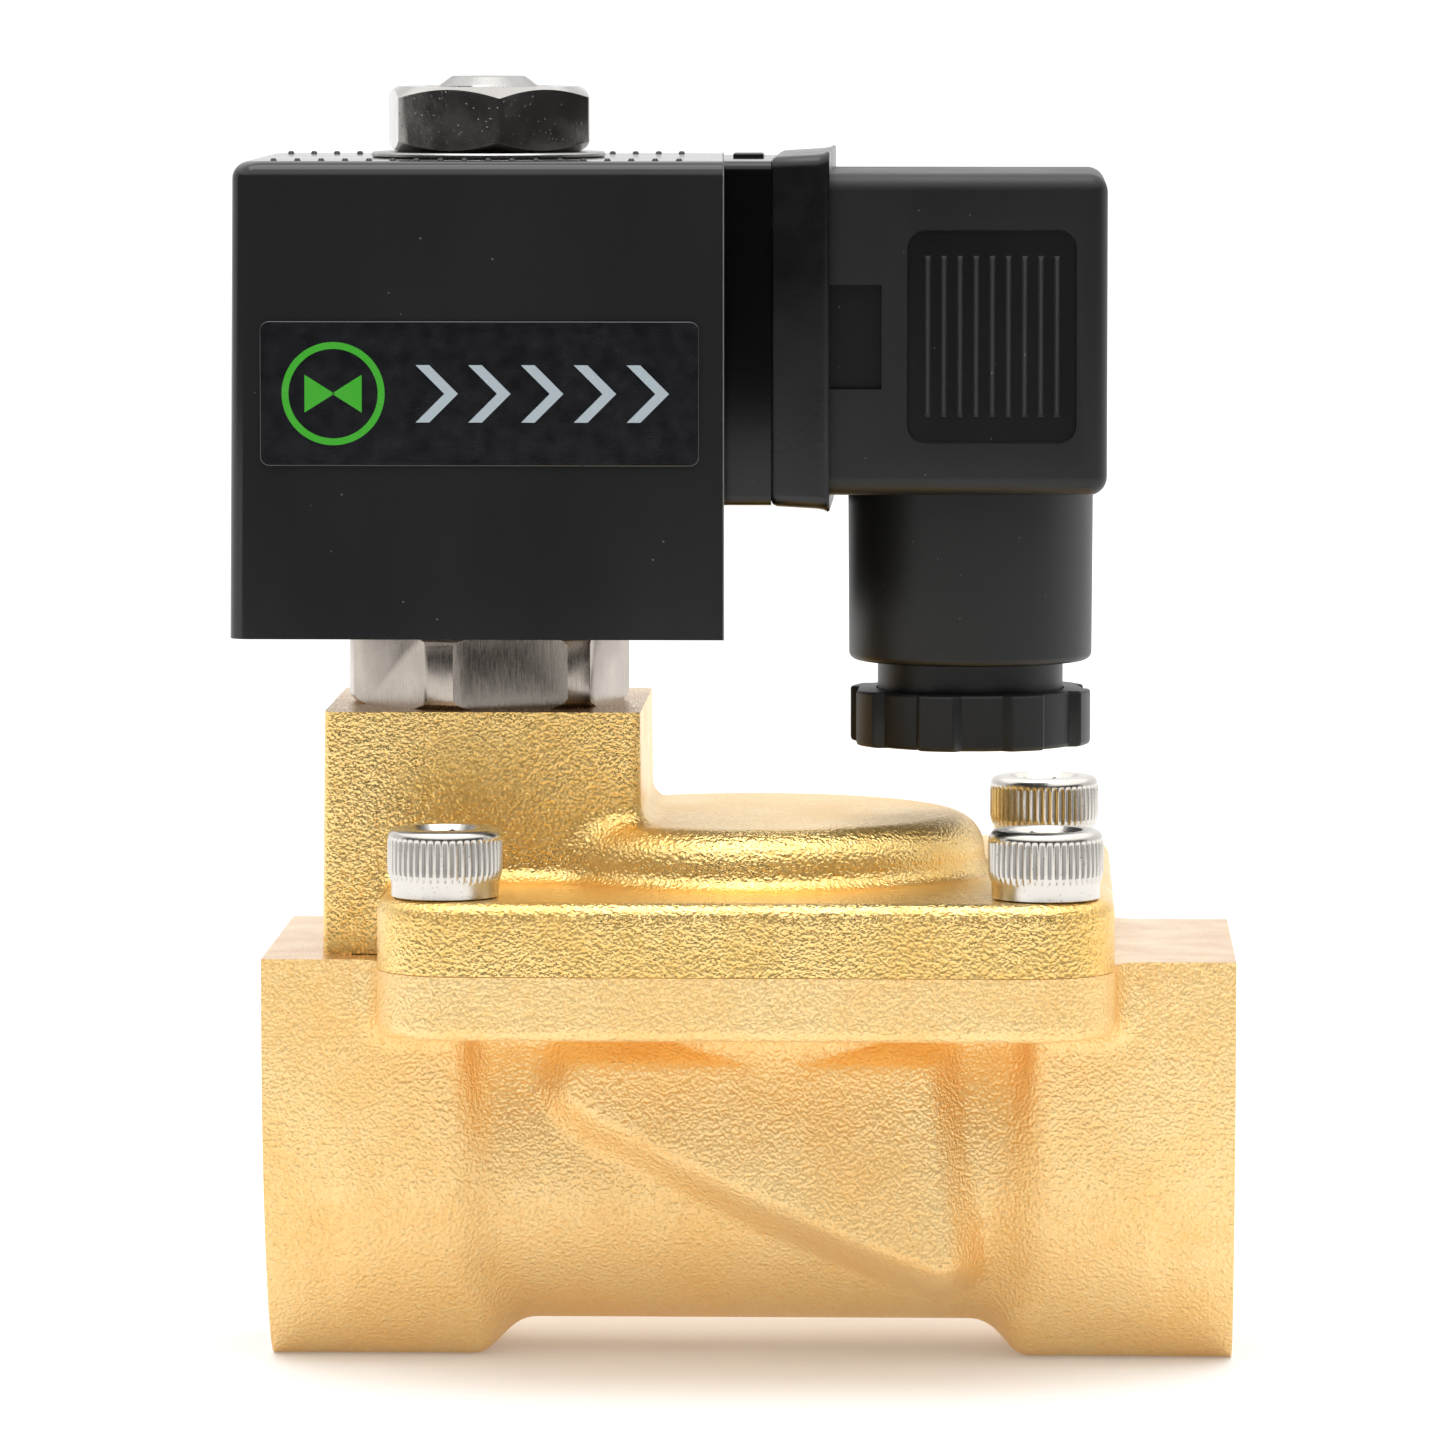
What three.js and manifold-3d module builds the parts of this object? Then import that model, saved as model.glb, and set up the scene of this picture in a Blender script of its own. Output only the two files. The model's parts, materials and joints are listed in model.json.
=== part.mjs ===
// Solenoid valve, 3/4 inch, normally closed, pilot operated, with a diaphragm.
// Millimetres, +Z up. X runs along the pipe: inlet at +X, outlet at -X.
// The origin is the middle of the footprint, on the surface that the valve stands on.

import * as THREE from 'three';
import { mergeVertices } from 'three/addons/utils/BufferGeometryUtils.js';
import Module from 'manifold-3d';

const wasm = await Module();
wasm.setup();

// ---------------------------------------------------------------- driving dimensions

const BODY_CENTRE_X = 1.4; // everything below is measured from the middle of the brass body
const TUBE_X = -23.6; // upright axis of the pilot, guide tube and coil
const DIAPHRAGM_X = 2.4; // upright axis of the seat and diaphragm
const SPLIT_Z = 36.6; // machined joint between body and bonnet
const FIT = 0.1; // clearance of a sliding or pressed fit
const SIDES = 24; // flats round a plain turned piece
const FINE_SIDES = 36; // flats round a large or visible one
const PAST = 1; // how far a cutter runs past the face that it cuts
const FAR = 10; // how far a shaping block runs past the faces that it leaves alone

const BODY = {
  halfLength: 42.7,
  portInnerX: 24.9,
  flangeHalf: 32,
  flangeCorner: 7.5,
  flangeBottom: 31,
  portSide: [[18, 36.6], [17.6, 26], [15.5, 14], [11.5, 5], [6, 0]],
  waistSide: [[15, 31.5], [15, 14], [12, 6.5], [6, 2.6]],
  bulgeHalf: 18.4,
  bulge: [[-17.7, 31.2], [18.1, 31.2], [18.1, 27.3], [20, 10.8], [17.6, 8.1], [15.3, 8.1], [-17.7, 23.9]],
};

const PORT = { axisZ: 18.3, bore: 12.5, depth: 15.2, mouth: 13.6, chamfer: 1.1 };
const SEAT = { bore: 10.2, lip: 12.5, top: 33, chamber: 16, chamberFloor: 26.5, boreFloor: 9 };
const OUTLET = { radius: 10, axisZ: 17.5 };
const INLET = { radius: 9, left: 15.4, riserInner: 13, riserFloor: 14, riserHalfAngle: 0.7 };
const PILOT = {
  hole: 1.5,
  holeSides: 16,
  seatBottom: 41,
  seatRadius: 3,
  seatShoulder: 47,
  seatTip: 1.7,
  seatTop: 52,
  orifice: 0.9,
  chamberFloor: 44,
};

const BONNET = {
  flangeTop: 43,
  domeRadius: 20.6,
  domeTop: 48.1,
  domeEdge: 2.6,
  domeSteps: 4,
  cavity: 15.8,
  cavityCorner: 1.8,
  ceiling: 45.6,
  towerLeft: -37.65,
  towerRight: -9.35,
  towerHalf: 14,
  towerTop: 58,
  towerCorner: 1.8,
  towerBore: 9.1,
  towerLedge: 50.2,
  pilotChamber: 6.2,
  feedHole: 0.9,
  feedRight: -10.6,
  feedZ: 44.9,
  feedSides: 12,
};

const SCREW = {
  pitch: 26,
  head: 5,
  headTop: 49,
  headBevel: 0.8,
  collar: 4.7,
  collarTop: 1.3,
  collarSlope: 0.5,
  shank: 3,
  tip: 0.6,
  end: 31.2,
  hole: 3.3,
  socket: 5,
  socketDepth: 3,
};

// The folds are [radius, z] points of the rolling part between the flat middle and the rim.
const DIAPHRAGM = {
  outer: 24,
  bottom: 35.6,
  top: 37.6,
  discBottom: 33.1,
  discTop: 34.7,
  foldUnder: [[12.9, 33.1], [14.6, 34.2], [15.7, 35.6]],
  foldOver: [[15.4, 37.6], [14.1, 36.5], [12.9, 34.7]],
  ear: 4.5,
  bleedHole: 0.6,
  bleedOffset: 14.2,
  bleedSides: 8,
};
const PLATE = { radius: 12.5, top: 36.2, bevel: 0.8 };
const WASHER = { radius: 8.5, bottom: 31.6 };
const BOLT = { radius: 3, headBottom: 27.8, headFlats: 10, top: 40.5, nutTop: 39.2 };
const MAIN_SPRING = { radius: 7.6, wire: 0.5, bottom: 36.3, top: 45.5, turns: 4 };

const BASE = {
  flats: 22.8,
  clip: 12.5,
  chamferWidth: 1,
  chamferHeight: 0.5,
  spigot: 9,
  spigotBottom: 52.2,
  top: 64.5,
  turn: 12.5,
};
const O_RING = { radius: 8.05, wire: 0.9, z: 51.2, sides: 8 };
const TUBE = { outer: 6.6, inner: 6, bottom: 52.4, top: 104 };
const CORE = {
  radius: 5.9,
  bottom: 84,
  headTop: 104.8,
  stud: 4.95,
  studTip: [[4.95, 112.2], [4.5, 112.7], [3.25, 113.6]],
  studTop: 113.6,
  grooveInner: 3.6,
  grooveOuter: 4.7,
  grooveDepth: 1.5,
};
const SHADING_RING = { inner: 3.7, outer: 4.6, height: 1.4 };
const PLUNGER = {
  radius: 5.8,
  bottom: 52.3,
  top: 81.5,
  springBore: 3.2,
  springFloor: 73,
  seal: 3,
  sealTop: 54.6,
  seatGap: 0.05,
  grooveHalf: 0.9,
  grooveDepth: 0.7,
};
const PLUNGER_SPRING = { radius: 2.4, wire: 0.3, bottom: 73.1, top: 83.9, turns: 6 };

const COIL = {
  left: -45.4,
  right: -2.1,
  half: 18,
  bottom: 64.7,
  top: 106.4,
  wall: 2.5,
  edge: 1.6,
  corner: 2,
  bevel: 1.2,
  bore: 6.8,
  neckRight: 1.9,
  neckHalf: 14,
  neckBottom: 76.2,
  neckCorner: 1,
  baseRecess: 0.3,
};
const NIB = { left: -1.8, right: 0.9, half: 3, height: 0.5 };
const INSERT = { radius: 2.5, hole: 1.6, recess: 0.4 };
const YOKE = { half: 17.4, plate: 3, depthHalf: 12, bottom: 67.2, top: 103.6 };
const BOBBIN = { inner: 7, outer: 8, flange: 14, bottom: 67.4, top: 100.4, cheek: 1.5 };
const WINDING_OUTER = 13.4;
const LABEL = { x: -23.4, z: 86.2, width: 38.3, height: 12.6, corner: 0.6, thickness: 0.25 };

const PLUG = {
  left: 7,
  right: 31.3,
  half: 14,
  bottom: 77.1,
  top: 105.3,
  corner: 1.65,
  wall: 2.2,
  cavityRight: 27.8,
  screwZ: 91.2,
  counterbore: 3.6,
  counterboreLeft: 29,
  outletX: 19.3,
  outletRadius: 10.8,
  outletBottom: 61.8,
  neckRadius: 8.25,
  neckBottom: 55.5,
  cableHole: 6.4,
  grommetHole: 7.2,
  grommetTop: 66.5,
};
const GASKET = { left: 1.9, right: 7, bottom: 75.7, top: 107.2, half: 15, corner: 1.2 };
const WINDOW = { right: 11.6, bottom: 86.4, top: 95.6, depth: 1 };
const GRIP = { left: 13.8, right: 28.6, bottom: 81.7, top: 100.4, corner: 1.6, depth: 0.4 };
const RIBS = { count: 9, first: 15.6, pitch: 1.41, half: 0.2, bottom: 84, top: 98.1 };
const PLUG_SCREW = {
  left: -1.2,
  shank: 1.5,
  hole: 1.9,
  wallHole: 1.7,
  head: 2.9,
  headLeft: 29.6,
  headRight: 31.2,
  slotLeft: 30.6,
  slotHalf: 0.4,
};
const SCREW_SEAL = { inner: 1.6, outer: 3.2 };
const BLADE = { width: 6.3, thickness: 0.8, left: -5.6, right: 12.5, spread: 9, earthZ: 82.6 };
const BLOCK = { right: 16.5, half: 11.5, bottom: 79.6, top: 102.8 };
const SOCKET = { left: 8.3, thin: 1.9, wide: 4.1, slotRight: 13, screwHole: 1.6, screwSides: 16 };
const TERMINAL_SCREW = { left: 13.2, shank: 1.5, head: 2.4, headHeight: 1.8 };
const GLAND = {
  bottom: 54.3,
  top: 59.25,
  radius: 10.8,
  valley: 10.05,
  lobes: 8,
  firstLobe: 29,
  lobeHalf: 8.5,
  lobeFoot: 12.5,
  hole: 5,
  floor: 55.3,
  neckFit: 0.15,
  washerHole: 4.6,
  washerHeight: 1,
  grommetHole: 4,
};
const TOP_NUT = {
  washer: 10.4,
  washerHole: 5.2,
  bottom: 106.9,
  top: 112.7,
  flats: 17,
  chamferRadius: 8.1,
  chamferHeight: 1,
  hole: 5.1,
  turn: 39,
};

// ---------------------------------------------------------------- solids from three.js shapes

function signedVolume(positions, corners) {
  const a = new THREE.Vector3();
  const b = new THREE.Vector3();
  const c = new THREE.Vector3();
  let volume = 0;
  for (let i = 0; i < corners.length; i += 3) {
    a.fromArray(positions, corners[i] * 3);
    b.fromArray(positions, corners[i + 1] * 3);
    c.fromArray(positions, corners[i + 2] * 3);
    volume += a.dot(b.cross(c)) / 6;
  }
  return volume;
}

// A closed three.js geometry as a solid that can be joined and cut.
function toSolid(geometry) {
  geometry.deleteAttribute('normal');
  geometry.deleteAttribute('uv');
  const merged = mergeVertices(geometry, 1e-4);
  const positions = merged.attributes.position.array;
  const all = merged.index.array;
  const corners = [];
  for (let i = 0; i < all.length; i += 3) {
    const distinct = new Set([all[i], all[i + 1], all[i + 2]]).size === 3;
    if (distinct) corners.push(all[i], all[i + 1], all[i + 2]);
  }
  if (signedVolume(positions, corners) < 0) corners.reverse();
  return new wasm.Manifold(new wasm.Mesh({
    numProp: 3,
    vertProperties: Float32Array.from(positions),
    triVerts: Uint32Array.from(corners),
  }));
}

function toGeometry(solid) {
  const mesh = solid.getMesh();
  const geometry = new THREE.BufferGeometry();
  geometry.setAttribute('position', new THREE.BufferAttribute(mesh.vertProperties, 3));
  geometry.setIndex(new THREE.BufferAttribute(mesh.triVerts, 1));
  geometry.computeVertexNormals();
  return geometry;
}

function join(...solids) {
  return solids.reduce((whole, piece) => whole.add(piece));
}

function cut(whole, ...cutters) {
  return cutters.reduce((rest, cutter) => rest.subtract(cutter), whole);
}

function box(x0, x1, y0, y1, z0, z1) {
  const geometry = new THREE.BoxGeometry(x1 - x0, y1 - y0, z1 - z0);
  geometry.translate((x0 + x1) / 2, (y0 + y1) / 2, (z0 + z1) / 2);
  return toSolid(geometry);
}

function cylinderZ(radius, bottom, top, x = 0, y = 0, sides = SIDES) {
  const geometry = new THREE.CylinderGeometry(radius, radius, top - bottom, sides);
  geometry.rotateX(Math.PI / 2);
  geometry.translate(x, y, (bottom + top) / 2);
  return toSolid(geometry);
}

// A cone or cylinder along X, from radius a at the left end to radius b at the right end.
function coneX(a, b, left, right, y, z, sides = SIDES) {
  const geometry = new THREE.CylinderGeometry(a, b, right - left, sides);
  geometry.rotateZ(Math.PI / 2);
  geometry.translate((left + right) / 2, y, z);
  return toSolid(geometry);
}

function cylinderX(radius, left, right, y, z, sides = SIDES) {
  return coneX(radius, radius, left, right, y, z, sides);
}

// A hexagonal bar along Z, with one corner at the angle `turn` in degrees from +X.
function hexagonZ(acrossFlats, bottom, top, x, turn = 0) {
  const corner = acrossFlats / Math.sqrt(3);
  const geometry = new THREE.CylinderGeometry(corner, corner, top - bottom, 6);
  geometry.rotateX(Math.PI / 2);
  geometry.rotateZ(THREE.MathUtils.degToRad(turn + 30));
  geometry.translate(x, 0, (bottom + top) / 2);
  return toSolid(geometry);
}

// A turned piece about an upright axis. The profile is a list of [radius, z].
function revolve(profile, x = 0, sides = SIDES) {
  const points = profile.map(([radius, z]) => new THREE.Vector2(radius, z));
  const geometry = new THREE.LatheGeometry(points, sides);
  geometry.rotateX(Math.PI / 2);
  geometry.translate(x, 0, 0);
  return toSolid(geometry);
}

// A turned ring: its profile closes on itself.
function revolveRing(profile, x = 0, sides = SIDES) {
  return revolve([...profile, profile[0]], x, sides);
}

function washer(inner, outer, bottom, top, x, sides = SIDES) {
  return revolveRing([[inner, bottom], [outer, bottom], [outer, top], [inner, top]], x, sides);
}

function polygon(points) {
  return new THREE.Shape(points.map(([x, y]) => new THREE.Vector2(x, y)));
}

// The outline of a shape that is the same on both sides, from its right side's points.
function mirrored(points) {
  const left = points.map(([x, y]) => [-x, y]).reverse();
  return polygon([...points, ...left]);
}

function roundedRectangle(x0, x1, y0, y1, radius) {
  const shape = new THREE.Shape();
  shape.absarc(x1 - radius, y1 - radius, radius, 0, Math.PI / 2);
  shape.absarc(x0 + radius, y1 - radius, radius, Math.PI / 2, Math.PI);
  shape.absarc(x0 + radius, y0 + radius, radius, Math.PI, 1.5 * Math.PI);
  shape.absarc(x1 - radius, y0 + radius, radius, 1.5 * Math.PI, 2 * Math.PI);
  shape.closePath();
  return shape;
}

function extrude(shape, depth, bevel = 0) {
  return new THREE.ExtrudeGeometry(shape, {
    depth: depth - 2 * bevel,
    curveSegments: 2,
    bevelEnabled: bevel > 0,
    bevelThickness: bevel,
    bevelSize: bevel,
    bevelOffset: -bevel,
    bevelSegments: 2,
  }).translate(0, 0, bevel);
}

function prismZ(shape, bottom, top, bevel = 0) {
  return toSolid(extrude(shape, top - bottom, bevel).translate(0, 0, bottom));
}

// The shape's own axes are Y and Z here.
function prismX(shape, left, right, bevel = 0) {
  const turn = new THREE.Matrix4().makeBasis(
    new THREE.Vector3(0, 1, 0), new THREE.Vector3(0, 0, 1), new THREE.Vector3(1, 0, 0));
  return toSolid(extrude(shape, right - left, bevel).applyMatrix4(turn).translate(left, 0, 0));
}

// The shape's own axes are X and Z here.
function prismY(shape, front, back, bevel = 0) {
  const turn = new THREE.Matrix4().makeBasis(
    new THREE.Vector3(1, 0, 0), new THREE.Vector3(0, 0, 1), new THREE.Vector3(0, -1, 0));
  return toSolid(extrude(shape, back - front, bevel).applyMatrix4(turn).translate(0, back, 0));
}

// A coil spring about an upright axis: a round wire along a helix with flat, closed ends.
class Helix extends THREE.Curve {
  constructor({ radius, wire, bottom, top, turns }, x) {
    super();
    Object.assign(this, { radius, wire, bottom, top, turns, x });
  }

  getPoint(t, target = new THREE.Vector3()) {
    const turned = t * this.turns;
    const active = THREE.MathUtils.clamp((turned - 0.5) / (this.turns - 1), 0, 1);
    const angle = turned * 2 * Math.PI;
    const rise = this.top - this.bottom - 2 * this.wire;
    const z = this.bottom + this.wire + rise * active;
    return target.set(this.x + this.radius * Math.cos(angle), this.radius * Math.sin(angle), z);
  }
}

function spring(size, x) {
  const section = new THREE.Shape();
  section.absarc(0, 0, size.wire, 0, 2 * Math.PI);
  const path = new Helix(size, x);
  return toSolid(new THREE.ExtrudeGeometry(section, {
    steps: size.turns * 12,
    curveSegments: 3,
    extrudePath: path,
  }));
}

// ---------------------------------------------------------------- body and bonnet

function atScrews(make) {
  const places = [[1, -1], [-1, -1], [1, 1], [-1, 1]];
  return places.map(([x, y]) => make(x * SCREW.pitch, y * SCREW.pitch));
}

function flangeOutline() {
  const half = BODY.flangeHalf;
  return roundedRectangle(-half, half, -half, half, BODY.flangeCorner);
}

// The space that the diaphragm's rim and its ear over the pilot passage fill.
function rimPocket(bottom, top) {
  return join(
    cylinderZ(DIAPHRAGM.outer + FIT, bottom, top, DIAPHRAGM_X, 0, FINE_SIDES),
    cylinderZ(DIAPHRAGM.ear + FIT, bottom, top, TUBE_X));
}

function portCutter(side) {
  const end = BODY.halfLength;
  const inner = end - PORT.depth;
  const bore = side > 0
    ? cylinderX(PORT.bore, inner, end + PAST, 0, PORT.axisZ, FINE_SIDES)
    : cylinderX(PORT.bore, -end - PAST, -inner, 0, PORT.axisZ, FINE_SIDES);
  const mouth = side > 0
    ? coneX(PORT.mouth, PORT.bore, end - PORT.chamfer, end, 0, PORT.axisZ, FINE_SIDES)
    : coneX(PORT.bore, PORT.mouth, -end, -end + PORT.chamfer, 0, PORT.axisZ, FINE_SIDES);
  return join(bore, mouth);
}

// Inlet passage: straight in from the port, then up into the ring chamber round the seat.
function inletCutter() {
  const riser = new THREE.Shape();
  riser.absarc(DIAPHRAGM_X, 0, SEAT.chamber, -INLET.riserHalfAngle, INLET.riserHalfAngle, false);
  riser.absarc(DIAPHRAGM_X, 0, INLET.riserInner, INLET.riserHalfAngle, -INLET.riserHalfAngle, true);
  riser.closePath();
  return join(
    cylinderX(INLET.radius, INLET.left, BODY.halfLength - PORT.depth + PAST, 0, PORT.axisZ),
    prismZ(riser, INLET.riserFloor, SEAT.chamberFloor + PAST));
}

function makeValveBody() {
  const end = BODY.halfLength;
  const portOutline = mirrored(BODY.portSide);
  const casting = join(
    prismZ(flangeOutline(), BODY.flangeBottom, SPLIT_Z),
    prismX(portOutline, BODY.portInnerX, end),
    prismX(portOutline, -end, -BODY.portInnerX),
    prismX(mirrored(BODY.waistSide), -BODY.portInnerX - PAST, BODY.portInnerX + PAST),
    prismY(polygon(BODY.bulge), -BODY.bulgeHalf, BODY.bulgeHalf));
  const chamber = cut(
    cylinderZ(SEAT.chamber, SEAT.chamberFloor, SPLIT_Z + PAST, DIAPHRAGM_X, 0, FINE_SIDES),
    cylinderZ(SEAT.lip, SEAT.chamberFloor - PAST, SEAT.top, DIAPHRAGM_X, 0, FINE_SIDES));
  return cut(
    casting,
    portCutter(1),
    portCutter(-1),
    chamber,
    inletCutter(),
    cylinderX(OUTLET.radius, -end + PORT.depth - PAST, DIAPHRAGM_X, 0, OUTLET.axisZ),
    cylinderZ(SEAT.bore, SEAT.boreFloor, SPLIT_Z, DIAPHRAGM_X),
    cylinderZ(PILOT.hole, OUTLET.axisZ, SPLIT_Z + PAST, TUBE_X, 0, PILOT.holeSides),
    rimPocket(DIAPHRAGM.bottom - FIT, SPLIT_Z + PAST),
    ...atScrews((x, y) => cylinderZ(SCREW.hole, BODY.flangeBottom - PAST, SPLIT_Z + PAST, x, y)));
}

function domeProfile() {
  const profile = [[0, SPLIT_Z], [BONNET.domeRadius, SPLIT_Z]];
  for (let i = 0; i <= BONNET.domeSteps; i += 1) {
    const angle = (i / BONNET.domeSteps) * Math.PI / 2;
    const radius = BONNET.domeRadius - BONNET.domeEdge * (1 - Math.cos(angle));
    const z = BONNET.domeTop - BONNET.domeEdge * (1 - Math.sin(angle));
    profile.push([radius, z]);
  }
  profile.push([0, BONNET.domeTop]);
  return profile;
}

function makeBonnet() {
  const tower = roundedRectangle(
    BONNET.towerLeft, BONNET.towerRight, -BONNET.towerHalf, BONNET.towerHalf, BONNET.towerCorner);
  const casting = join(
    prismZ(flangeOutline(), SPLIT_Z, BONNET.flangeTop),
    revolve(domeProfile(), 0, FINE_SIDES),
    prismZ(tower, SPLIT_Z, BONNET.towerTop));
  const cavity = revolve([
    [0, SPLIT_Z - PAST],
    [BONNET.cavity, SPLIT_Z - PAST],
    [BONNET.cavity, BONNET.ceiling - BONNET.cavityCorner],
    [BONNET.cavity - BONNET.cavityCorner, BONNET.ceiling],
    [0, BONNET.ceiling],
  ], DIAPHRAGM_X, FINE_SIDES);
  return cut(
    casting,
    cavity,
    rimPocket(SPLIT_Z - PAST, DIAPHRAGM.top + FIT),
    cylinderZ(BONNET.towerBore, BONNET.towerLedge, BONNET.towerTop + PAST, TUBE_X),
    cylinderZ(BONNET.pilotChamber, PILOT.chamberFloor, BONNET.towerTop, TUBE_X),
    cylinderZ(PILOT.seatRadius + FIT, PILOT.seatBottom, BONNET.towerTop, TUBE_X),
    cylinderZ(PILOT.hole, SPLIT_Z - PAST, BONNET.towerTop, TUBE_X, 0, PILOT.holeSides),
    cylinderX(
      BONNET.feedHole,
      TUBE_X + BONNET.pilotChamber - PAST, BONNET.feedRight,
      0, BONNET.feedZ, BONNET.feedSides),
    ...atScrews((x, y) => cylinderZ(SCREW.hole, SPLIT_Z - PAST, BONNET.flangeTop + PAST, x, y)));
}

function makeBonnetScrew() {
  const knurlBottom = BONNET.flangeTop + SCREW.collarTop + SCREW.collarSlope;
  const socketFloor = SCREW.headTop - SCREW.socketDepth;
  const turned = revolve([
    [0, SCREW.end],
    [SCREW.shank - SCREW.tip, SCREW.end],
    [SCREW.shank, SCREW.end + SCREW.tip],
    [SCREW.shank, BONNET.flangeTop],
    [SCREW.collar, BONNET.flangeTop],
    [SCREW.collar, BONNET.flangeTop + SCREW.collarTop],
    [SCREW.head, knurlBottom],
    [SCREW.head, SCREW.headTop - SCREW.headBevel],
    [SCREW.head - SCREW.headBevel, SCREW.headTop],
    [0, SCREW.headTop],
  ]);
  return cut(turned, hexagonZ(SCREW.socket, socketFloor, SCREW.headTop + PAST, 0));
}

// ---------------------------------------------------------------- main valve

function makeDiaphragm() {
  const size = DIAPHRAGM;
  const hole = BOLT.radius + FIT;
  const rubber = revolveRing([
    [hole, size.discBottom],
    ...size.foldUnder,
    [size.outer, size.bottom],
    [size.outer, size.top],
    ...size.foldOver,
    [hole, size.discTop],
  ], DIAPHRAGM_X, FINE_SIDES);
  const bleedX = DIAPHRAGM_X + size.bleedOffset;
  return cut(
    join(rubber, cylinderZ(size.ear, size.bottom, size.top, TUBE_X)),
    cylinderZ(PILOT.hole, size.bottom - PAST, size.top + PAST, TUBE_X, 0, PILOT.holeSides),
    cylinderZ(size.bleedHole, size.discBottom, size.top, bleedX, 0, size.bleedSides));
}

function makeDiaphragmPlate() {
  const hole = BOLT.radius + FIT;
  return revolveRing([
    [hole, DIAPHRAGM.discTop],
    [PLATE.radius - PLATE.bevel, DIAPHRAGM.discTop],
    [PLATE.radius, DIAPHRAGM.discTop + PLATE.bevel],
    [PLATE.radius, PLATE.top],
    [hole, PLATE.top],
  ], DIAPHRAGM_X);
}

function makeDiaphragmWasher() {
  return washer(BOLT.radius + FIT, WASHER.radius, WASHER.bottom, DIAPHRAGM.discBottom, DIAPHRAGM_X);
}

function makeDiaphragmBolt() {
  return join(
    hexagonZ(BOLT.headFlats, BOLT.headBottom, WASHER.bottom, DIAPHRAGM_X),
    cylinderZ(BOLT.radius, WASHER.bottom - PAST, BOLT.top, DIAPHRAGM_X));
}

function makeDiaphragmNut() {
  return cut(
    hexagonZ(BOLT.headFlats, PLATE.top, BOLT.nutTop, DIAPHRAGM_X),
    cylinderZ(BOLT.radius + FIT, PLATE.top - PAST, BOLT.nutTop + PAST, DIAPHRAGM_X));
}

// ---------------------------------------------------------------- pilot valve

function makePilotSeat() {
  return revolveRing([
    [PILOT.orifice, PILOT.seatBottom],
    [PILOT.seatRadius, PILOT.seatBottom],
    [PILOT.seatRadius, PILOT.seatShoulder],
    [PILOT.seatTip, PILOT.seatTop],
    [PILOT.orifice, PILOT.seatTop],
  ], TUBE_X);
}

function makeTubeORing() {
  const profile = [];
  for (let i = 0; i < O_RING.sides; i += 1) {
    const angle = (i / O_RING.sides) * 2 * Math.PI;
    profile.push([O_RING.radius + O_RING.wire * Math.cos(angle), O_RING.z + O_RING.wire * Math.sin(angle)]);
  }
  return revolveRing(profile, TUBE_X);
}

function makeTubeBase() {
  const corner = BASE.clip;
  const limits = revolve([
    [0, BONNET.towerTop],
    [corner, BONNET.towerTop],
    [corner, BASE.top - BASE.chamferHeight],
    [corner - BASE.chamferWidth, BASE.top],
    [0, BASE.top],
  ], TUBE_X, FINE_SIDES);
  const hexagon = hexagonZ(BASE.flats, BONNET.towerTop, BASE.top, TUBE_X, BASE.turn).intersect(limits);
  const spigot = cylinderZ(BASE.spigot, BASE.spigotBottom, BONNET.towerTop + PAST, TUBE_X);
  const bore = cylinderZ(TUBE.outer + FIT, BASE.spigotBottom - PAST, BASE.top + PAST, TUBE_X);
  return cut(join(hexagon, spigot), bore);
}

function makeGuideTube() {
  return washer(TUBE.inner, TUBE.outer, TUBE.bottom, TUBE.top, TUBE_X);
}

function makeFixedCore() {
  const turned = revolve([
    [0, CORE.bottom],
    [CORE.radius, CORE.bottom],
    [CORE.radius, TUBE.top],
    [TUBE.outer, TUBE.top],
    [TUBE.outer, CORE.headTop],
    [CORE.stud, CORE.headTop],
    ...CORE.studTip,
    [0, CORE.studTop],
  ], TUBE_X);
  const groove = washer(
    CORE.grooveInner, CORE.grooveOuter, CORE.bottom - PAST, CORE.bottom + CORE.grooveDepth, TUBE_X);
  return cut(turned, groove);
}

function makeShadingRing() {
  const top = CORE.bottom + SHADING_RING.height;
  return washer(SHADING_RING.inner, SHADING_RING.outer, CORE.bottom, top, TUBE_X);
}

function makePlunger() {
  const bar = cylinderZ(PLUNGER.radius, PLUNGER.bottom, PLUNGER.top, TUBE_X);
  const half = PLUNGER.grooveHalf;
  const deep = PLUNGER.grooveDepth;
  const grooves = [1, -1].map((side) => box(
    TUBE_X - half, TUBE_X + half,
    side * PLUNGER.radius - deep, side * PLUNGER.radius + deep,
    PLUNGER.bottom - PAST, PLUNGER.top + PAST));
  return cut(
    bar,
    cylinderZ(PLUNGER.springBore, PLUNGER.springFloor, PLUNGER.top + PAST, TUBE_X),
    cylinderZ(PLUNGER.seal + FIT, PLUNGER.bottom - PAST, PLUNGER.sealTop, TUBE_X),
    ...grooves);
}

function makePlungerSeal() {
  return cylinderZ(PLUNGER.seal, PILOT.seatTop + PLUNGER.seatGap, PLUNGER.sealTop, TUBE_X);
}

// ---------------------------------------------------------------- coil

// The holes that the terminal blades pass through.
function bladeSlots(left, right) {
  const half = BLADE.width / 2 + FIT;
  const thin = BLADE.thickness / 2 + FIT;
  const z = PLUG.screwZ;
  return join(
    box(left, right, -BLADE.spread - thin, -BLADE.spread + thin, z - half, z + half),
    box(left, right, BLADE.spread - thin, BLADE.spread + thin, z - half, z + half),
    box(left, right, -half, half, BLADE.earthZ - thin, BLADE.earthZ + thin));
}

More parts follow.
